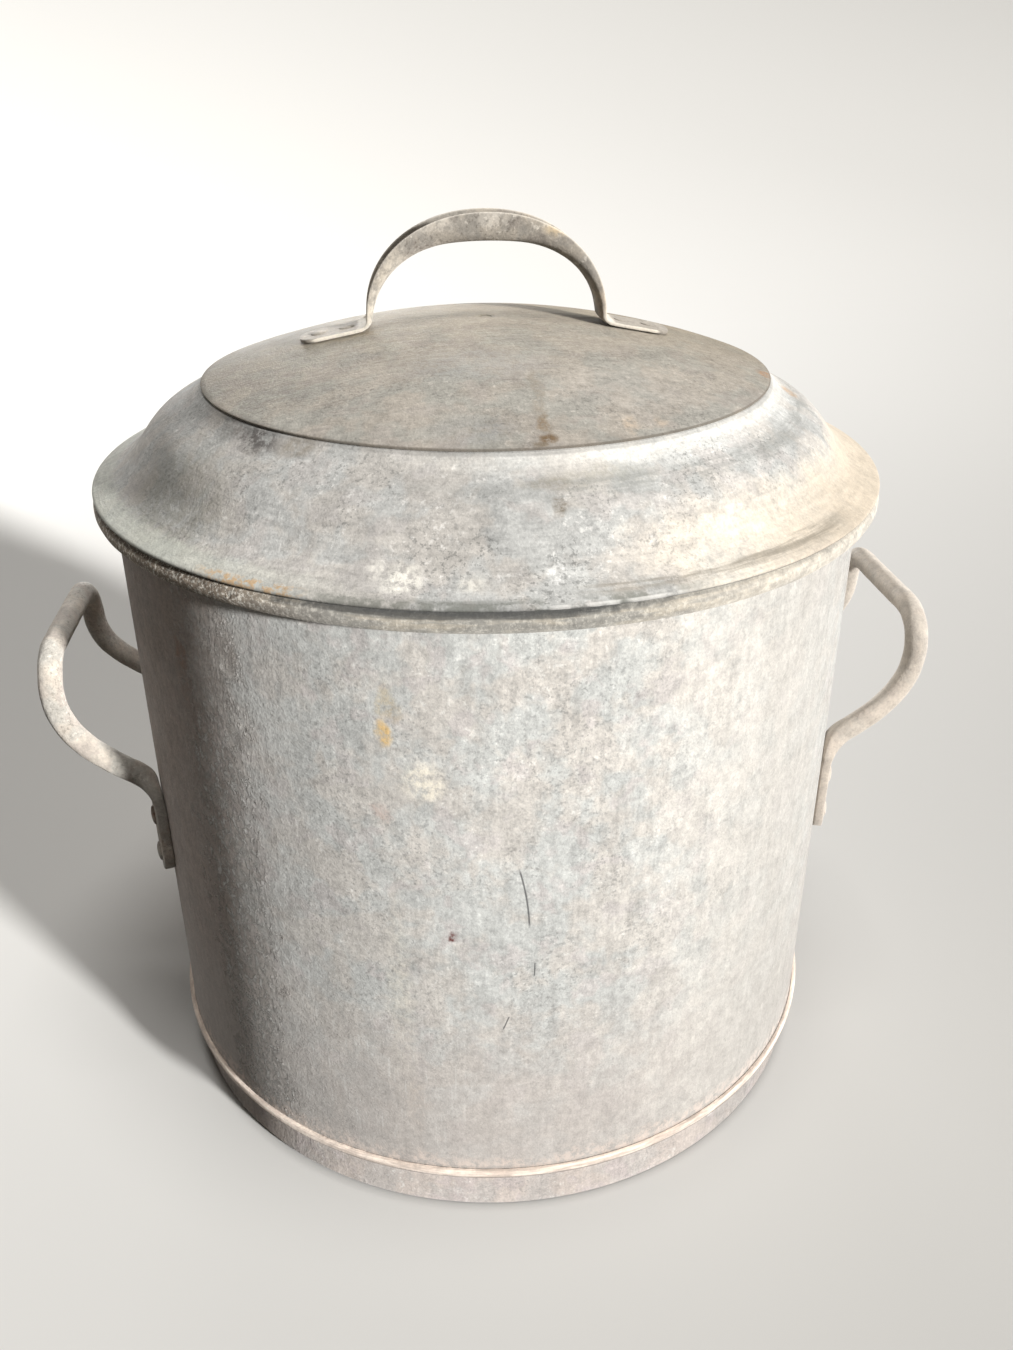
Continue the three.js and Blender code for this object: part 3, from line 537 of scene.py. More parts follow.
ringLook = {
    "cool": (198, 198, 195), "warm": (202, 198, 192), "lilac": (199, 195, 191), "white": (241, 239, 235),
    "fleck": (118, 118, 115), "streaks": 0.5, "clouds": 0.7, "mottle": 0.75, "flecks": 0.5,
    "streak": ((13, 0.7), 2.2, 3, 0.6, 7), "patterns": {"gleam": ((16, 0.1), 0.9, 2, 0.5, 13)}, "slant": 0.3,
    "zones": [
        # a painted highlight under the edge of the disc, towards the lit side, then a band of grey smears that also
        # paints the shade on the flat of the cove
        {"colour": (238, 236, 230), "amount": 0.48, "level": 0.6, "fades": [("out", 128, 122, 14), ("x", -95, 30)]},
        {
            "colour": (140, 141, 137), "ramp": ("x", -60, 40, 0.2, 0.55),
            "fades": [("out", 127, 131), ("out", 143, 133, 14), ("streak", 0.34, 0.66)],
        },
        # cream lime on the lower shoulder, tan at its right end
        {"colour": (236, 226, 210), "amount": 0.65, "level": 0.6, "fades": [("x", 20, 90, 90), ("out", 139, 150, 14)]},
        {
            "colour": (208, 193, 171), "amount": 0.6, "level": 0.6,
            "fades": [("slant", 115, 165, 40), ("out", 140, 153, 14)],
        },
        # soot above the brim, and pale lime at the left
        {
            "colour": (128, 120, 106), "amount": 0.65, "fades": [("streak", 0.3, 0.62), ("y", 0, -40)],
            "bands": [("out", 161.8, 4.2, 1, 8, "streak"), ("x", 70, 62, 40)],
        },
        {
            "colour": (204, 206, 196), "amount": 0.7, "level": 0.8,
            "fades": [("out", 156, 161, 10, "mottle"), ("x", -40, -130)],
        },
        # dashes of rust and a dark smear on the brim
        {
            "colour": (204, 170, 126), "amount": 0.8, "bands": [("x", -92, 22, 10)],
            "fades": [("out", 163.2, 165), ("y", 0, -40), ("mottle", 0.45, 0.58)],
        },
        {
            "colour": (118, 120, 112), "amount": 0.7, "bands": [("x", -12, 80, 45)],
            "fades": [("out", 163.3, 165.6, 5, "streak"), ("y", 0, -40), ("cloud", 0.4, 0.56)],
        },
    ],
    "levels": [(-20, 70, 35, -0.05), (52, 62, 20, 0.16)],  # painted light and shade: bands of x that are a little darker or lighter
    # painted shade under the curl of the brim and in the gap along the disc's edge
    "shadeLines": [
        {"colour": (74, 74, 72), "patchy": (0.4, 0.8), "fades": [("z", 291.2, 290.2), ("out", 160.2, 162)]},
        {"colour": (74, 74, 72), "patchy": (0.4, 0.8), "amount": 0.3, "fades": [("out", 121.0, 120.2)]},
    ],
    "glint": {
        "colour": (241, 239, 235), "amount": 0.6,
        "fades": [("out", 166.8, 167.1), ("gleam", 0.5, 0.6)], "bands": [("x", 26, 32, 14)],
    },
    "stainsAndShade": [
        ((12.5, -138.5, 316.2), 4.4, (112, 98, 76), 0.85, (1, 1, 1.5)),
        ((9, -130, 319.6), 5, (136, 126, 104), 0.45, (2.4, 1, 0.5)),
        ((31, -127, 321), 12, (140, 136, 118), 0.35, (2.4, 1, 0.4)),
        ((-42, -152, 296.8), 7, (250, 247, 238), 0.9, (1.5, 1, 1)),
        ((-50, -147, 299), 5, (250, 247, 238), 0.7, (1.2, 1, 1)),
        ((-20, -157, 296), 5, (240, 237, 228), 0.6, (1.4, 1, 1)),
        ((10, -156, 299), 5, (246, 245, 242), 0.8, (1, 1, 1.4)),
        ((-76, -96, 325.6), 7, (214, 196, 170), 0.4, (1.6, 1, 0.6)),
        # the next three are dark smudges under the disc's edge at the left that also paint the shade of the steep wall
        # there
        ((-101, -70, 326), 12, (112, 106, 100), 0.6, (1.2, 1.4, 0.5)),
        ((-90, -84, 325.5), 12, (96, 91, 88), 0.85, (1.2, 1.2, 0.5)),
        ((-76, -96, 325), 9, (120, 118, 114), 0.5, (1.6, 1, 0.5)),
        # painted shade: a broad darker patch on the left slope of the ring
        ((-126, -88, 305), 40, (134, 131, 118), 0.5, (1, 1.2, 0.8)),
        ((126, -26, 322.5), 7, (196, 156, 112), 0.75),
    ],
}


def makeRingFinish():
    finish = galvanised("lid_ring_zinc", ringLook)
    x = finish.values["x"]
    finish.values["slant"] = x - finish.values["y"] * ringLook["slant"]
    finish.zones(ringLook["zones"])
    levels = (finish.step(abs(x - middle), outer, inner) * rise for middle, outer, inner, rise in ringLook["levels"])
    finish.shade(1 + sum(levels))
    finish.zones(ringLook["shadeLines"])
    finish.zone(ringLook["glint"])
    return finished(finish)


discLook = {
    "cool": (167, 164, 156), "warm": (173, 166, 156), "lilac": (170, 163, 155), "white": (206, 200, 191),
    "fleck": (112, 110, 106), "streak": ((0.12, 1, 1), 1.8, 3, 0.6, 7), "streaks": 0.4,
    "clouds": 0.72, "cloud": 17, "mottle": 0.75, "bloom": 0.5, "flecks": 0.45,
    "behind": {"colour": (134, 122, 100), "amount": 0.7, "level": 1, "fades": [("y", -90, 50)]},
    # painted shade: a dark line round the rim of the disc, for the shadow of the gap under its edge
    "edge": {"colour": (112, 103, 92), "patchy": (0.3, 0.5), "fades": [("out", 118.7, 119.3)]},
    "stainsAndShade": [
        ((11, -86, 339), 4, (140, 127, 110), 0.42, (0.8, 10, 2.4)),
        ((11, -104, 333.5), 3.4, (134, 112, 82), 0.6, (0.8, 3, 1.4)),
        ((10.5, -114, 330), 4, (112, 88, 56), 0.85, (1.3, 1.1, 1.1)),
        ((7, -117.5, 329), 3.4, (120, 104, 80), 0.65, (1.3, 0.8, 1)),
        ((-10, -60, 343), 20, (158, 160, 160), 0.4, (1.8, 1, 1)),
        ((-15, -108, 332), 12, (150, 152, 154), 0.4, (1.8, 1, 1)),
        ((45, -80, 337), 26, (190, 184, 176), 0.4, (1.5, 1, 1)),
        ((42, -104, 332), 5, (206, 186, 162), 0.5, (0.8, 1.6, 1.2)),
        ((53, -100, 331), 4, (206, 186, 162), 0.4, (0.8, 1.4, 1.2)),
        ((113.6, -31, 329.4), 6, (182, 126, 78), 0.8),
        ((-56, -6, 345), 13, (154, 134, 108), 0.45, (1.5, 1, 1)), ((-72, 2, 342), 6, (150, 122, 94), 0.45),
        ((-40, 7, 347.8), 1.3, (245, 243, 238), 0.9), ((-26, -104, 333), 14, (186, 180, 170), 0.35, (1.6, 1, 1)),
    ],
}


def makeDiscFinish():
    finish = galvanised("lid_disc_zinc", discLook)
    finish.zone(discLook["behind"])
    finish.zone(discLook["edge"])
    return finished(finish)


handleLook = {
    "cool": (175, 169, 160), "warm": (188, 180, 168), "lilac": (165, 157, 148), "white": (238, 232, 221),
    "fleck": (104, 95, 85), "patch": 12, "cloud": 6, "ragged": 3,
    "bloom": 0.7, "flecks": 0.45, "mottle": 0.8, "streaks": 0.1, "pads": (52.5, 54.5),
    "foot": {"colour": (172, 165, 155), "amount": 0.9, "level": 1, "fades": [("y", -9.9, -9.0)]},
    # painted highlight along the strap's front edges and the top of its arch
    "edge": {"colour": (246, 240, 228), "patchy": (0.35, 0.75)},
    "side": (-9.4, -10.0), "below": (356, 348), "arch": (0.93, 0.98),
    "stainsAndShade": [
        ((50, 0, 366), 14, (168, 146, 120), 0.6, (0.5, 1, 1.4)),
        ((18, 0, 391), 9, (214, 190, 150), 0.5),
        ((-8, -3, 381), 9, (118, 110, 100), 0.5, (1.6, 1, 0.5)),
        ((-50, -5, 357), 15, (230, 222, 208), 0.75), ((-40, -6, 373), 12, (222, 214, 200), 0.6),
        ((-20, -9, 387), 7, (228, 221, 210), 0.6, (1.5, 1, 0.8)), ((3, -9, 389), 5, (232, 226, 216), 0.6, (1.6, 1, 1)),
        ((30, -9, 386), 6, (232, 212, 176), 0.6, (1.5, 1, 0.8)), ((50, -6, 358), 12, (214, 200, 180), 0.5),
    ],
}


# The strap's front edges get a painted highlight: on the legs by y, on the arch by how far out a point lies in its
# superellipse
def makeHandleFinish():
    finish = galvanised("lid_strap_zinc", handleLook)
    x, y, z = (finish.values[name] for name in "xyz")
    pads = finish.step(abs(x), *handleLook["pads"])
    finish.zone(handleLook["foot"], pads)
    legs = finish.step(y, *handleLook["side"]) * finish.step(z, *handleLook["below"])
    above = (z - bendHeight).larger(0)
    out = (abs(x) / gutter["halfSpan"]) ** gutter["power"] + (above / gutter["rise"]) ** gutter["power"]
    finish.zone(handleLook["edge"], legs.larger(finish.step(out, *handleLook["arch"]) * (1 - pads)))
    return finished(finish)


rodLook = {
    "cool": (202, 198, 190), "warm": (213, 205, 194), "lilac": (200, 191, 182), "white": (243, 239, 230),
    "fleck": (116, 106, 94), "patch": 16, "cloud": 8, "ragged": 3,
    "bloom": 0.5, "flecks": 0.35, "mottle": 0.6, "streaks": 0.1,
    # painted light: the lit side is painted paler
    "zones": [{"colour": (232, 222, 210), "amount": 0.6, "level": 0.6, "fades": [("x", 0, 60)]}],
    "stainsAndShade": [
        # the first two are brown staining that also paints the shade on the left elbow and strap
        ((-163, -46, 163), 10, (128, 104, 88), 0.65), ((-158, -48, 134), 15, (156, 138, 122), 0.6),
        ((-157, -50, 147), 6, (146, 92, 62), 0.6), ((-160, -45, 131), 5, (150, 96, 68), 0.5),
    ],
}


def makeRodFinish():
    finish = galvanised("rod_zinc", rodLook)
    finish.zones(rodLook["zones"])
    return finished(finish)


rackLook = {
    "cool": (150, 152, 149), "warm": (166, 162, 152), "lilac": (154, 150, 146), "white": (198, 195, 186),
    "fleck": (98, 98, 94),
}


pot = {
    "radius": 160.0, "footHeight": 23.3, "footFlange": 1.0,
    "beadX": 163.4, "beadZ": 285.9, "beadRadius": 4.4, "curl": 315, "wire": 3.2, "wireX": 163.5, "ease": 0.25,
    "seamWidth": 9.0, "seamRise": 1.2, "seamEase": 1.1, "seamFoot": (25.9, 26.3), "seamTop": (281.2, 280.6),
    "wave": 0.22, "waveFoot": (28, 55), "waveTop": (279, 262),
    "beadWave": 0.28, "beadFrom": (281, 283), "beadOut": (159.5, 162),
}


# The wall wavers slowly and the outside of the bead in shorter waves; the lock seam stands out at the back
def wornWall(angle, radius, height):
    middle = smooth(height, *pot["waveFoot"]) * smooth(height, *pot["waveTop"])
    radius = radius - pot["wave"] * wander(angle, height, 1.3) * middle
    bead = smooth(height, *pot["beadFrom"]) * smooth(radius, *pot["beadOut"])
    radius = radius - pot["beadWave"] * wander(angle, height * 0, 4.1, (17, 29, 47)) * bead
    across = np.abs((angle - np.pi / 2) * pot["radius"])
    seam = smooth(across, pot["seamWidth"] / 2, pot["seamWidth"] / 2 - pot["seamEase"])
    outside = radius > pot["radius"] - sheet / 2
    seam = seam * smooth(height, *pot["seamFoot"]) * smooth(height, *pot["seamTop"]) * outside
    return radius + pot["seamRise"] * seam, height


def makePotWall(finish):
    bead = arc((pot["beadX"], pot["beadZ"]), pot["beadRadius"], 180, 180 - pot["curl"], 44)
    inside = pot["radius"] - sheet
    flange = [(pot["radius"] + pot["footFlange"], pot["footHeight"])]
    rise = straight((inside, pot["footHeight"]), (inside, pot["beadZ"]), 70)
    line = np.vstack([flange, rise, bead[1:]])
    outline = eased(np.vstack([line, beside(line, sheet)[::-1]]), pot["ease"], 2)
    seam = np.pi / 2 + np.linspace(-6.5, 6.5, 40) / pot["radius"]  # closer columns across the lock seam
    dress(turned("pot_wall_sheet", outline, wornWall, extra=seam), finish, "pot", "pot_sheet", "pot_wall")
    wire = arc((pot["wireX"], pot["beadZ"]), pot["wire"], 0, 360, 16)[:-1]
    dress(turned("rim_wire_round", wire, turns=192), finish, "pot", "wire", "rim_wire")
    print("pot wall and rim")


pan = {
    "radius": 158.2, "depth": 22.0, "corner": 2.5, "fold": 162.3, "top": 25.6, "hub": 20.0,
    "ease": 0.2, "foldEase": 0.8, "topEase": 1.9, "wave": 0.25, "waveFoot": (3, 8), "waveTop": (21.5, 16),
}


def makeBasePan(finish):
    corner = arc((pan["radius"] - pan["corner"], pan["corner"]), pan["corner"], -90, 0, 8)
    line = np.vstack([[(0.0, 0.0)], straight((pan["hub"], 0), corner[0], 12), corner[1:],
                      straight(corner[-1], (pan["radius"], pan["depth"]), 12)[1:],
                      [(pan["fold"], pan["depth"]), (pan["fold"], pan["top"]), (pot["radius"] + fit, pan["top"])]])
    inner = beside(line, -sheet)
    inner[0, 0] = 0
    outline = np.vstack([line, inner[::-1]])
    ease = np.full(len(outline), pan["ease"])
    ease[len(line) - 2], ease[len(line) - 3] = pan["topEase"], pan["foldEase"]
    body = eased(outline, ease, 6)
    body = body[body[:, 0] > 1]  # the poles stand for the two points on the axis
    poles = [(0, 0, 0), (0, 0, sheet)]

    def worn(angle, radius, height):
        wall = smooth(height, *pan["waveFoot"]) * smooth(height, *pan["waveTop"]) * (radius > 120)
        return radius - pan["wave"] * wander(angle, height, 2.2, (4, 7, 11)) * wall, height

    dress(turned("base_pan_sheet", body, worn, poles=poles), finish, "pot", "pot_sheet", "base_pan")
    print("base pan")


rod = {
    "radius": 5.2, "strapHalf": 9.5, "strapThick": 4.5, "corner": 8.5, "squareness": 6.0,
    "foot": 114.0, "strap": 36.0, "spread": 92.0, "elbow": (7.5, 15.5), "legSlope": 33,
    "reach": 193.0, "rise": 106.6, "gripCorner": 16.5, "gripHalf": 43.0, "sides": 28,
    "lump": 0.035, "edgeLump": 0.05, "seatFade": (4, -2), "seatReach": 1.6, "seatGap": 0.05,
}
rodRivet = {
    "pitch": 20.0, "edge": 8.5, "shank": 2.5, "head": 4.4, "rise": 1.5, "tail": 4.5, "tailRise": 1.8,
    "inset": 0.41,  # how far the flat sides of the wall in the source lie inside its circle
}
strapAngle = math.asin(rod["spread"] / 2 / pot["radius"])
strapFace = pot["radius"] + fit


def signedPower(value, power):
    return np.sign(value) * np.abs(value) ** (2 / power)


def turnZ(points, angle):
    c, s = math.cos(angle), math.sin(angle)
    return points @ np.array([[c, s, 0], [-s, c, 0], [0, 0, 1]])


# Half of a handle's middle line, from the lower end of a flat strap to the middle of the grip: its points and
# directions, how flat it is there, and how much the strap's rounded end is trimmed
def rodSpine():
    tip = turnZ(np.array([strapFace + rod["strapThick"] / 2, 0, rod["foot"]]), strapAngle)
    back, trim = roundedEnd(rod["corner"], rod["strap"], 9, 14)
    centre, along = [tip + back[:, None] * (0, 0, 1)], [np.tile((0.0, 0, 1), (len(back), 1))]
    trim, flatness = [trim], [np.ones(len(back))]
    slope = math.radians(rod["legSlope"])
    leaving = (math.cos(slope), 0, math.sin(slope))
    start = tip + (0, 0, rod["strap"])
    elbow = start + (rod["elbow"][0], 0, rod["elbow"][1])
    gripHeight = rod["foot"] + rod["rise"]
    legTop = np.array([rod["reach"], rod["gripHalf"], gripHeight - rod["gripCorner"]])
    gripStart = np.array([rod["reach"], rod["gripHalf"] - rod["gripCorner"], gripHeight])
    bends = [
        (start, (0, 0, 1), elbow, leaving, 14), (elbow, leaving, legTop, (0, 0, 1), 22),
        (legTop, (0, 0, 1), gripStart, (0, -1, 0), 14),
        (gripStart, (0, -1, 0), np.array([rod["reach"], 0, gripHeight]), (0, -1, 0), 10),
    ]
    for i, bend in enumerate(bends):
        points, slopes = sweep(*bend)
        centre.append(points[1:])
        along.append(slopes[1:])
        share = np.linspace(0, 1, bend[-1] + 1)[1:]
        flatness.append(1 - smooth(share, 0, 1) if i == 0 else np.zeros(bend[-1]))
        trim.append(np.zeros(bend[-1]))
    return np.vstack(centre), np.vstack(along), np.concatenate(flatness), np.concatenate(trim)


# Rod handle: superellipse rings along the bends, round on the rod and nearly rectangular on the forged ends,
# a little lumpy with zinc; half of it is mirrored to the other side
def makeSideHandle(name, side, finish):
    centre, along, flatness, trim = rodSpine()
    across, frames = np.array([-math.sin(strapAngle), math.cos(strapAngle), 0]), []
    for direction in along:  # carries the width direction along the bends without a twist
        across = across - direction * across.dot(direction)
        across = across / np.linalg.norm(across)
        frames.append(across)
    across = np.array(frames)
    through = np.cross(along, across)
    halfWidth = (rod["strapHalf"] - trim) * flatness + rod["radius"] * (1 - flatness)
    halfThick = rod["strapThick"] / 2 * flatness + rod["radius"] * (1 - flatness)
    power = (2 + (rod["squareness"] - 2) * flatness)[:, None]
    turn = np.linspace(0, 2 * np.pi, rod["sides"], endpoint=False)[None, :]
    n = np.arange(len(centre))[:, None]
    flat = power >= 5
    lump = 0.5 + 0.5 * np.sin(0.9 * n + 2 * turn + 1.1 * side) * np.sin(0.31 * n - turn)
    lump = 1 - rod["lump"] * lump * ~flat
    edge = 1 - rod["edgeLump"] * (0.5 + 0.5 * np.sin(0.8 * n + 3 * side)) * flat
    u = halfWidth[:, None] * signedPower(np.cos(turn), power) * lump * edge
    v = halfThick[:, None] * signedPower(np.sin(turn), power) * lump
    half = centre[:, None] + across[:, None] * u[..., None] + through[:, None] * v[..., None]
    grid = np.vstack([half, half[-2::-1] * (1, -1, 1)])
    # the flat ends lie against the wall: their inner face takes its curve
    away = np.hypot(grid[..., 0], grid[..., 1])
    seat = smooth(grid[..., 2] - rod["foot"] - rod["strap"], *rod["seatFade"])
    seat = seat * np.clip(rod["seatReach"] - (away - pot["radius"]), 0, 1)
    inward = 1 - (away - pot["radius"] - rod["seatGap"]) * seat / away
    grid = grid * np.stack([inward, inward, np.ones_like(inward)], -1)
    if side < 0:
        grid = grid * (-1, -1, 1)
    poles = [grid[0].mean(0), grid[-1].mean(0)]
    dress(skin(name + "_rod", grid, poles), finish, "pot", "rod", name)


# Rivet on the Z axis: flat tail, shank and a domed head whose height follows the sine of the angle
def rivetProfile(size, tailSeat, headSeat):
    brow = size["rise"] / 5
    angle = np.radians(np.linspace(0, 84, 9))
    dome = np.stack([size["head"] * np.cos(angle), headSeat + brow + (size["rise"] - brow) * np.sin(angle)], -1)
    tail = tailSeat - size["tailRise"]
    low = [(size["tail"] - 0.5, tail), (size["tail"], tail + 0.5), (size["tail"], tailSeat), (size["shank"], tailSeat)]
    under = [(size["shank"], headSeat), (size["head"], headSeat)]
    return np.vstack([low, under, dome]), [(0, 0, tail), (0, 0, headSeat + size["rise"])]


def rivetGrid(size, tailSeat, headSeat, sides=20):
    profile, poles = rivetProfile(size, tailSeat, headSeat)
    angle = np.linspace(0, 2 * np.pi, sides, endpoint=False)
    radius, height = profile[:, :1], np.repeat(profile[:, 1:], sides, 1)
    return np.stack([radius * np.cos(angle), radius * np.sin(angle), height], -1), np.array(poles, float)


def makeHandleRivets(side, finish):
    inside, outside = pot["radius"] - sheet, strapFace + rod["strapThick"]
    grid, poles = rivetGrid(rodRivet, inside - rodRivet["inset"] - fit, outside)
    name, half = ("left", math.pi) if side < 0 else ("right", 0)
    rows = [rod["foot"] + rodRivet["edge"] + row * rodRivet["pitch"] for row in (0, 1)]
    for i, (turn, height) in enumerate([(turn, row) for turn in (-strapAngle, strapAngle) for row in rows]):
        def placed(points):
            return turnZ(points[..., [2, 1, 0]] * (1, 1, -1), turn + half) + (0, 0, height)
        node = f"{name}_handle_rivet_{i + 1}"
        dress(skin(node + "_round", placed(grid), placed(poles)), finish, "pot", "rivet", node)


lid = {
    "discRadius": 119.5, "edgeHeight": 328.9, "rise": 21.3, "ledge": 7.0,
    "coveSlope": 44, "cove": (13.0, 8.6), "coveFlat": 28, "shoulder": (13.5, 12.2), "shoulderSlope": 54,
    "brimSlope": 20, "brimCurl": 1.1, "brim": (166.2, 291.154), "collar": 158.0, "collarFoot": 274.4, "collarSeat": 8.0,
    "ease": 0.2, "discEase": 0.3, "wave": 0.3, "discWave": 0.25,
    "discSteps": 5,  # straight steps of the disc in the source, which lie a little inside its curve
}
domeRadius = (lid["discRadius"] ** 2 + lid["rise"] ** 2) / (2 * lid["rise"])
domeCentre = lid["edgeHeight"] + lid["rise"] - domeRadius


def domeHeight(radius, out):
    return domeCentre + np.sqrt(radius ** 2 - out ** 2)


def ringLine():  # upper line of the pressed ring: ledge under the disc, cove, shoulder and brim
    out = np.array([lid["discRadius"] - lid["ledge"], lid["discRadius"] - lid["ledge"] / 2, lid["discRadius"]])
    ledge = np.stack([out, domeHeight(domeRadius - sheet - fit, out)], -1)
    cove = np.array([lid["discRadius"] + sheet / 2, ledge[-1, 1] - fit])
    coveFlat = cove + (lid["cove"][0], -lid["cove"][1])
    foot = coveFlat + (lid["shoulder"][0], -lid["shoulder"][1])
    end = arc(lid["brim"], lid["brimCurl"], 90 - lid["brimSlope"], 0, 1)[0]
    return np.vstack([ledge, [cove], fall(cove, lid["coveSlope"], coveFlat, lid["coveFlat"], 14),
                      fall(coveFlat, lid["coveFlat"], foot, lid["shoulderSlope"], 18),
                      fall(foot, lid["shoulderSlope"], end, lid["brimSlope"], 18)])


def lidWave(angle, height):
    return lid["wave"] * wander(angle, height * 0, 3.4, (2, 5, 9))


def wornRing(angle, radius, height):
    return radius, height - lidWave(angle, height) * smooth(radius, 122, 132) * smooth(radius, 164, 156)


def wornCollar(angle, radius, height):
    return radius, height - lidWave(angle, height) * smooth(height, 284, 290)


def wornDisc(angle, radius, height):  # level at the middle, at the edge and at both ends along x
    free = smooth(radius, 118, 96) * smooth(radius, 20, 34) * smooth(np.abs(np.cos(angle)) * radius, 96, 84)
    return radius, height - lid["discWave"] * wander(angle, radius, 5.2, (2, 3, 5)) * free


def makeLid(ringFinish, discFinish):
    top = ringLine()
    start = 90 - lid["brimSlope"]
    join = math.degrees(math.acos((lid["brimCurl"] - sheet) / lid["brimCurl"]))
    curl = arc(lid["brim"], lid["brimCurl"], start, start + join - 360, 18)[1:]
    under = beside(top, sheet)[:-1][::-1]
    outline = eased(np.vstack([top, curl, under]), lid["ease"], 2)
    dress(turned("lid_ring_sheet", outline, wornRing), ringFinish, "lid", "lid_sheet", "lid_shoulder")
    seat = beside(top, sheet + fit)
    drop = [(lid["collar"], lid["collarFoot"]), (lid["collar"], np.interp(lid["collar"], *seat.T) - 0.1)]
    seat = seat[(seat[:, 0] > lid["collar"] - lid["collarSeat"]) & (seat[:, 0] < lid["collar"])]
    line = np.vstack([drop, seat[::-1]])
    outline = eased(np.vstack([line, beside(line, -sheet)[::-1]]), lid["ease"], 2)
    dress(turned("lid_collar_band", outline, wornCollar, 192), ringFinish, "lid", "lid_sheet", "lid_collar")
    out = np.linspace(0, lid["discRadius"], 46)
    line = np.stack([out, domeHeight(domeRadius, out)], -1)
    inner = beside(line, sheet)
    outline = eased(np.vstack([line[1:], inner[:0:-1]]), lid["discEase"], 2)
    poles = [(0, 0, line[0, 1]), (0, 0, line[0, 1] - sheet)]
    dress(turned("lid_disc_sheet", outline, wornDisc, poles=poles), discFinish, "lid", "lid_sheet", "lid_disc")
    print("lid")


gutter = {
    "halfSpan": 50.5, "rise": 41.8, "power": 2.1, "strap": 1.5, "width": 20.5, "crownWidth": 14.5, "crownDepth": 11.6,
    "squareness": 2.6, "legDepth": 2.6, "narrow": 1.6, "pad": 27.0, "corner": 8.0, "bend": 2.5,
    "bendFrom": 20, "bendTo": 84, "crowd": 1.2, "evenTo": 0.8,
}
lidRivet = {"pitch": 12.0, "edge": 8.0, "shank": 2.0, "head": 3.4, "rise": 0.6, "tail": 3.8, "tailRise": 0.6}
padLean = math.asin((gutter["halfSpan"] + gutter["pad"] / 2) / domeRadius)
padUp = np.array([math.sin(padLean), 0, math.cos(padLean)])
padOut = np.array([math.cos(padLean), 0, -math.sin(padLean)])
padBase = np.array([0, 0, domeCentre]) + padUp * (domeRadius + fit)
bendHeight = domeHeight(domeRadius, gutter["halfSpan"]) + fit + gutter["strap"] + gutter["bend"]


# Half of the strap's middle line, from the end of a foot to the crown: its points, the direction that faces out,
# and its width and depth. The arch is a superellipse, with its points crowded together at the foot.
def strapSpine():
    back, trim = roundedEnd(gutter["corner"], gutter["pad"] - 2 * gutter["bend"], 10, 10)
    place = [padBase + padOut * (gutter["pad"] / 2 - back)[:, None] + padUp * gutter["strap"]]
    outward, width = [np.tile(padUp, (len(back), 1))], [gutter["width"] - 2 * trim]
    depth = [np.full(len(back), gutter["strap"])]
    turn = np.linspace(gutter["bendFrom"], gutter["bendTo"], 9)
    facing = np.stack([np.sin(np.radians(turn)), 0 * turn, np.cos(np.radians(turn))], -1)
    place.append(np.array([gutter["halfSpan"] + gutter["bend"], 0, bendHeight]) - gutter["bend"] * facing)
    outward.append(facing)
    width.append(np.full(len(turn), gutter["width"]))
    depth.append(gutter["strap"] + (gutter["legDepth"] - gutter["strap"]) * smooth(turn, 25, 90))
    share, even = (np.arange(1, 49) / 48) ** gutter["crowd"], gutter["evenTo"]
    deeper = (share - np.clip(share - even, 0, 1) ** 2 / (2 - 2 * even)) * 2 / (1 + even)  # level at the crown
    level, up = np.cos(share * np.pi / 2) + 1e-9, np.sin(share * np.pi / 2)
    power = 2 / gutter["power"]
    place.append(np.stack([gutter["halfSpan"] * level ** power, 0 * up, bendHeight + gutter["rise"] * up ** power], -1))
    facing = np.stack([level ** (2 - power) / gutter["halfSpan"], 0 * up, up ** (2 - power) / gutter["rise"]], -1)
    outward.append(facing / np.linalg.norm(facing, axis=1, keepdims=True))
    width.append(gutter["width"] + (gutter["crownWidth"] - gutter["width"]) * up ** gutter["narrow"])
    depth.append(gutter["legDepth"] + (gutter["crownDepth"] - gutter["legDepth"]) * deeper)
    place[-1][-1, 0] = 0
    return np.vstack(place), np.vstack(outward), np.concatenate(width)[:, None], np.concatenate(depth)[:, None]


# Strap handle of the lid: a flat strap whose two edges turn outwards on the way up, so that its section goes
# from a flat bar at the feet to a gutter at the crown. The section is half a superellipse, moved half a strap
# to each side and closed by a half circle at each edge.
def makeLidHandle(finish):
    place, outward, width, depth = strapSpine()
    shut = smooth(depth, gutter["strap"], gutter["crownDepth"])
    half = gutter["strap"] / 2
    place = place - outward * half * smooth(depth, gutter["strap"], 2 * gutter["strap"])  # room for the rounded edges
    angle = np.radians(np.linspace(-90, 90, 33))[None, :]
    side = (width / 2 - half * (1 - shut)) * signedPower(np.sin(angle), gutter["squareness"])
    drop = -half - (depth - 2 * half) * signedPower(np.cos(angle), gutter["squareness"])
    dSide, dDrop = np.gradient(side, axis=1), np.gradient(drop, axis=1)
    length = np.hypot(dSide, dDrop)
    nSide, nDrop = dDrop / length, -dSide / length
    cap = np.radians(np.linspace(0, 180, 7))[None, 1:-1]

    def capped(i):  # half circle round one edge, from one skin to the other
        s, d, ns, nd = (v[:, [i]] for v in (side, drop, nSide, nDrop))
        return s + half * (ns * np.cos(cap) - nd * np.sin(cap)), d + half * (nd * np.cos(cap) + ns * np.sin(cap))

    endS, endD = capped(-1)
    startS, startD = capped(0)
    ringS = np.hstack([side + half * nSide, endS, (side - half * nSide)[:, ::-1], 2 * side[:, :1] - startS])
    ringD = np.hstack([drop + half * nDrop, endD, (drop - half * nDrop)[:, ::-1], 2 * drop[:, :1] - startD])
    rings = place[:, None] + outward[:, None] * ringD[..., None] + np.array([0, 1, 0]) * ringS[..., None]
    rings[-1, :, 0] = 0
    grid = np.vstack([rings, rings[-2::-1] * (-1, 1, 1)])
    dress(skin("lid_handle_strap", grid, [grid[0].mean(0), grid[-1].mean(0)]), finish, "lid", "lid_strap", "lid_handle")
    makeLidRivets(finish)
    print("lid handle")


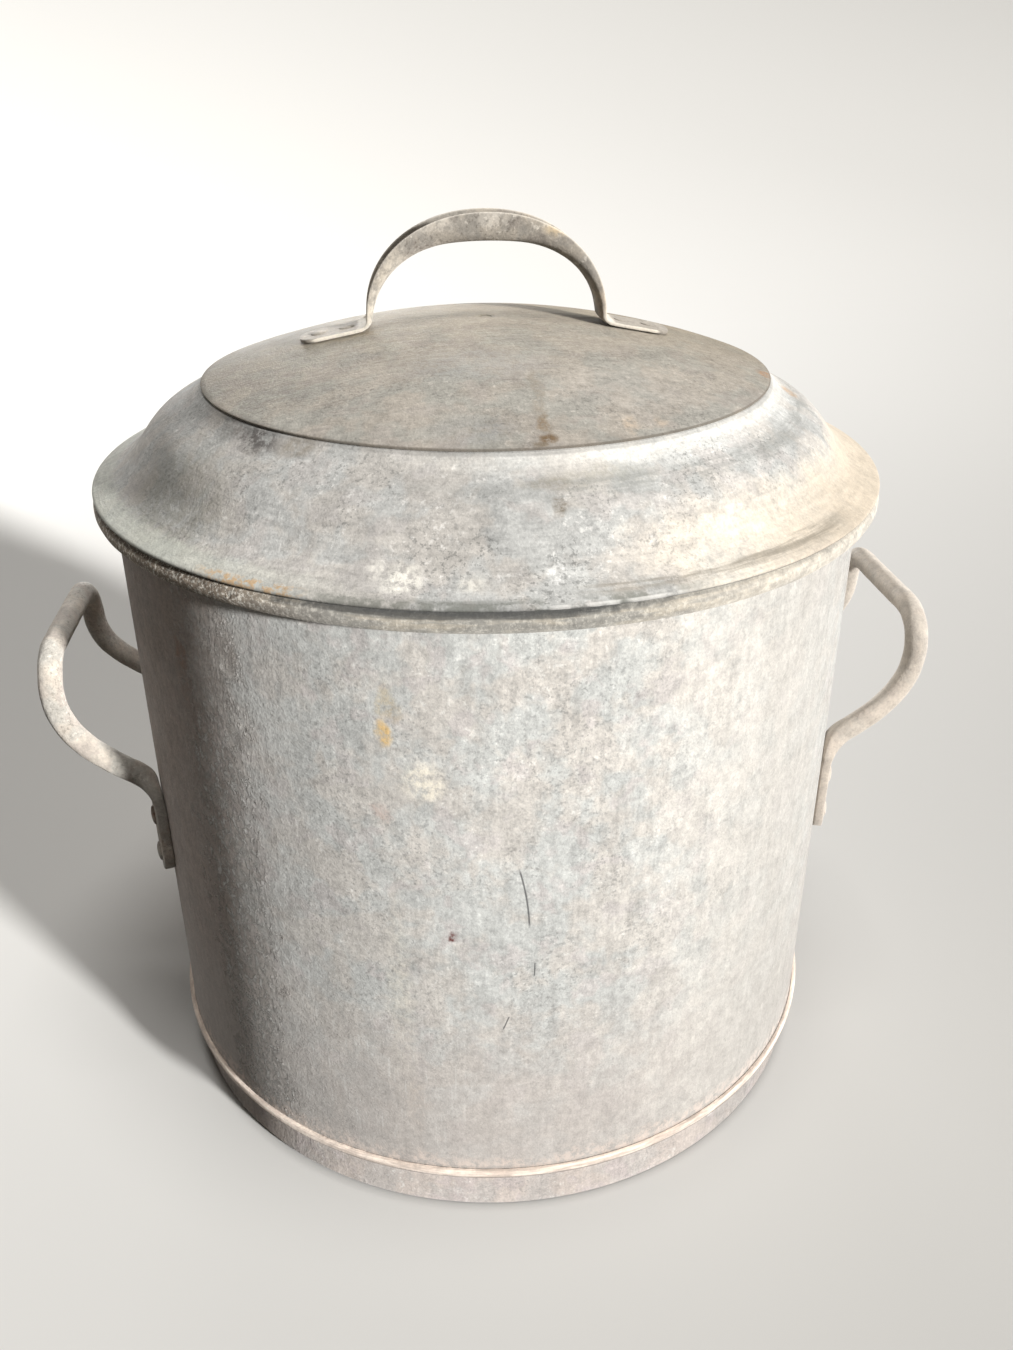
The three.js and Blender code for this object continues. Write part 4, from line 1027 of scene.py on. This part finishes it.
def makeLidRivets(finish):
    sag = (lid["discRadius"] / lid["discSteps"]) ** 2 / (8 * domeRadius)
    head, poles = rivetGrid(lidRivet, -(sheet + sag + 2 * fit), gutter["strap"])
    axes = np.array([padOut, (0, 1, 0), padUp])
    rows = [gutter["pad"] / 2 - lidRivet["edge"] - row * lidRivet["pitch"] for row in (0, 1)]
    for i, (turn, away) in enumerate([(turn, row) for turn in (0, math.pi) for row in rows]):
        def placed(points):
            return turnZ(points @ axes + padBase + padOut * away, turn)
        node = f"lid_handle_rivet_{i + 1}"
        dress(skin(node + "_round", placed(head), placed(poles)), finish, "lid", "rivet", node)


def makeStudio():  # a sheet of paper that bends up behind the pot
    half, bend, wide = studio["back"], studio["bend"], studio["wide"]
    rise = arc((half, bend), bend, -90, 0, 16)[1:]
    line = np.vstack([[(studio["front"], 0), (half, 0)], rise, [(half + bend, studio["tall"])]])
    across = np.broadcast_to([-wide, wide], (len(line), 2))
    grid = np.stack([across, *(np.repeat(line[:, i:i + 1], 2, 1) for i in (0, 1))], -1)
    index = np.arange(len(line) * 2).reshape(-1, 2)
    quads = np.stack([index[:-1, 0], index[:-1, 1], index[1:, 1], index[1:, 0]], -1)
    mesh = bpy.data.meshes.new("floor")
    mesh.from_pydata(grid.reshape(-1, 3).tolist(), [], quads.tolist())
    mesh.shade_smooth()
    floor = bpy.data.objects.new("floor", mesh)
    scene.collection.objects.link(floor)
    paper = Finish("paper")
    colour = paper.mix(paper.seen(), tint(*studio["bounce"]), tint(*studio["floor"]))
    paper.feed(baseColor=colour, roughness=studio["roughness"])
    floor.data.materials.append(paper.material)
    floor.visible_shadow = False  # or it would keep the back lamp off


makeCamera()
makeLamps()
makeStudio()
print("camera, lamps and floor")

scene.view_settings.view_transform = "Standard"

potFinish, panFinish = makePotFinish(), makePanFinish()
ringFinish, discFinish = makeRingFinish(), makeDiscFinish()
handleFinish, rodFinish = makeHandleFinish(), makeRodFinish()
rackFinish = finished(galvanised("rack_zinc", rackLook))

makePotWall(potFinish)
makeBasePan(panFinish)
for side, name in ((1, "right_handle"), (-1, "left_handle")):
    makeSideHandle(name, side, rodFinish)
    makeHandleRivets(side, rodFinish)
print("side handles")
makeLid(ringFinish, discFinish)
makeLidHandle(handleFinish)

for node in ["rack_plate", "rack_foot_1", "rack_foot_2", "rack_foot_3", "rack_loop_left", "rack_loop_right"]:
    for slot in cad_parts[node].material_slots:
        slot.material = rackFinish.material
print("rack")
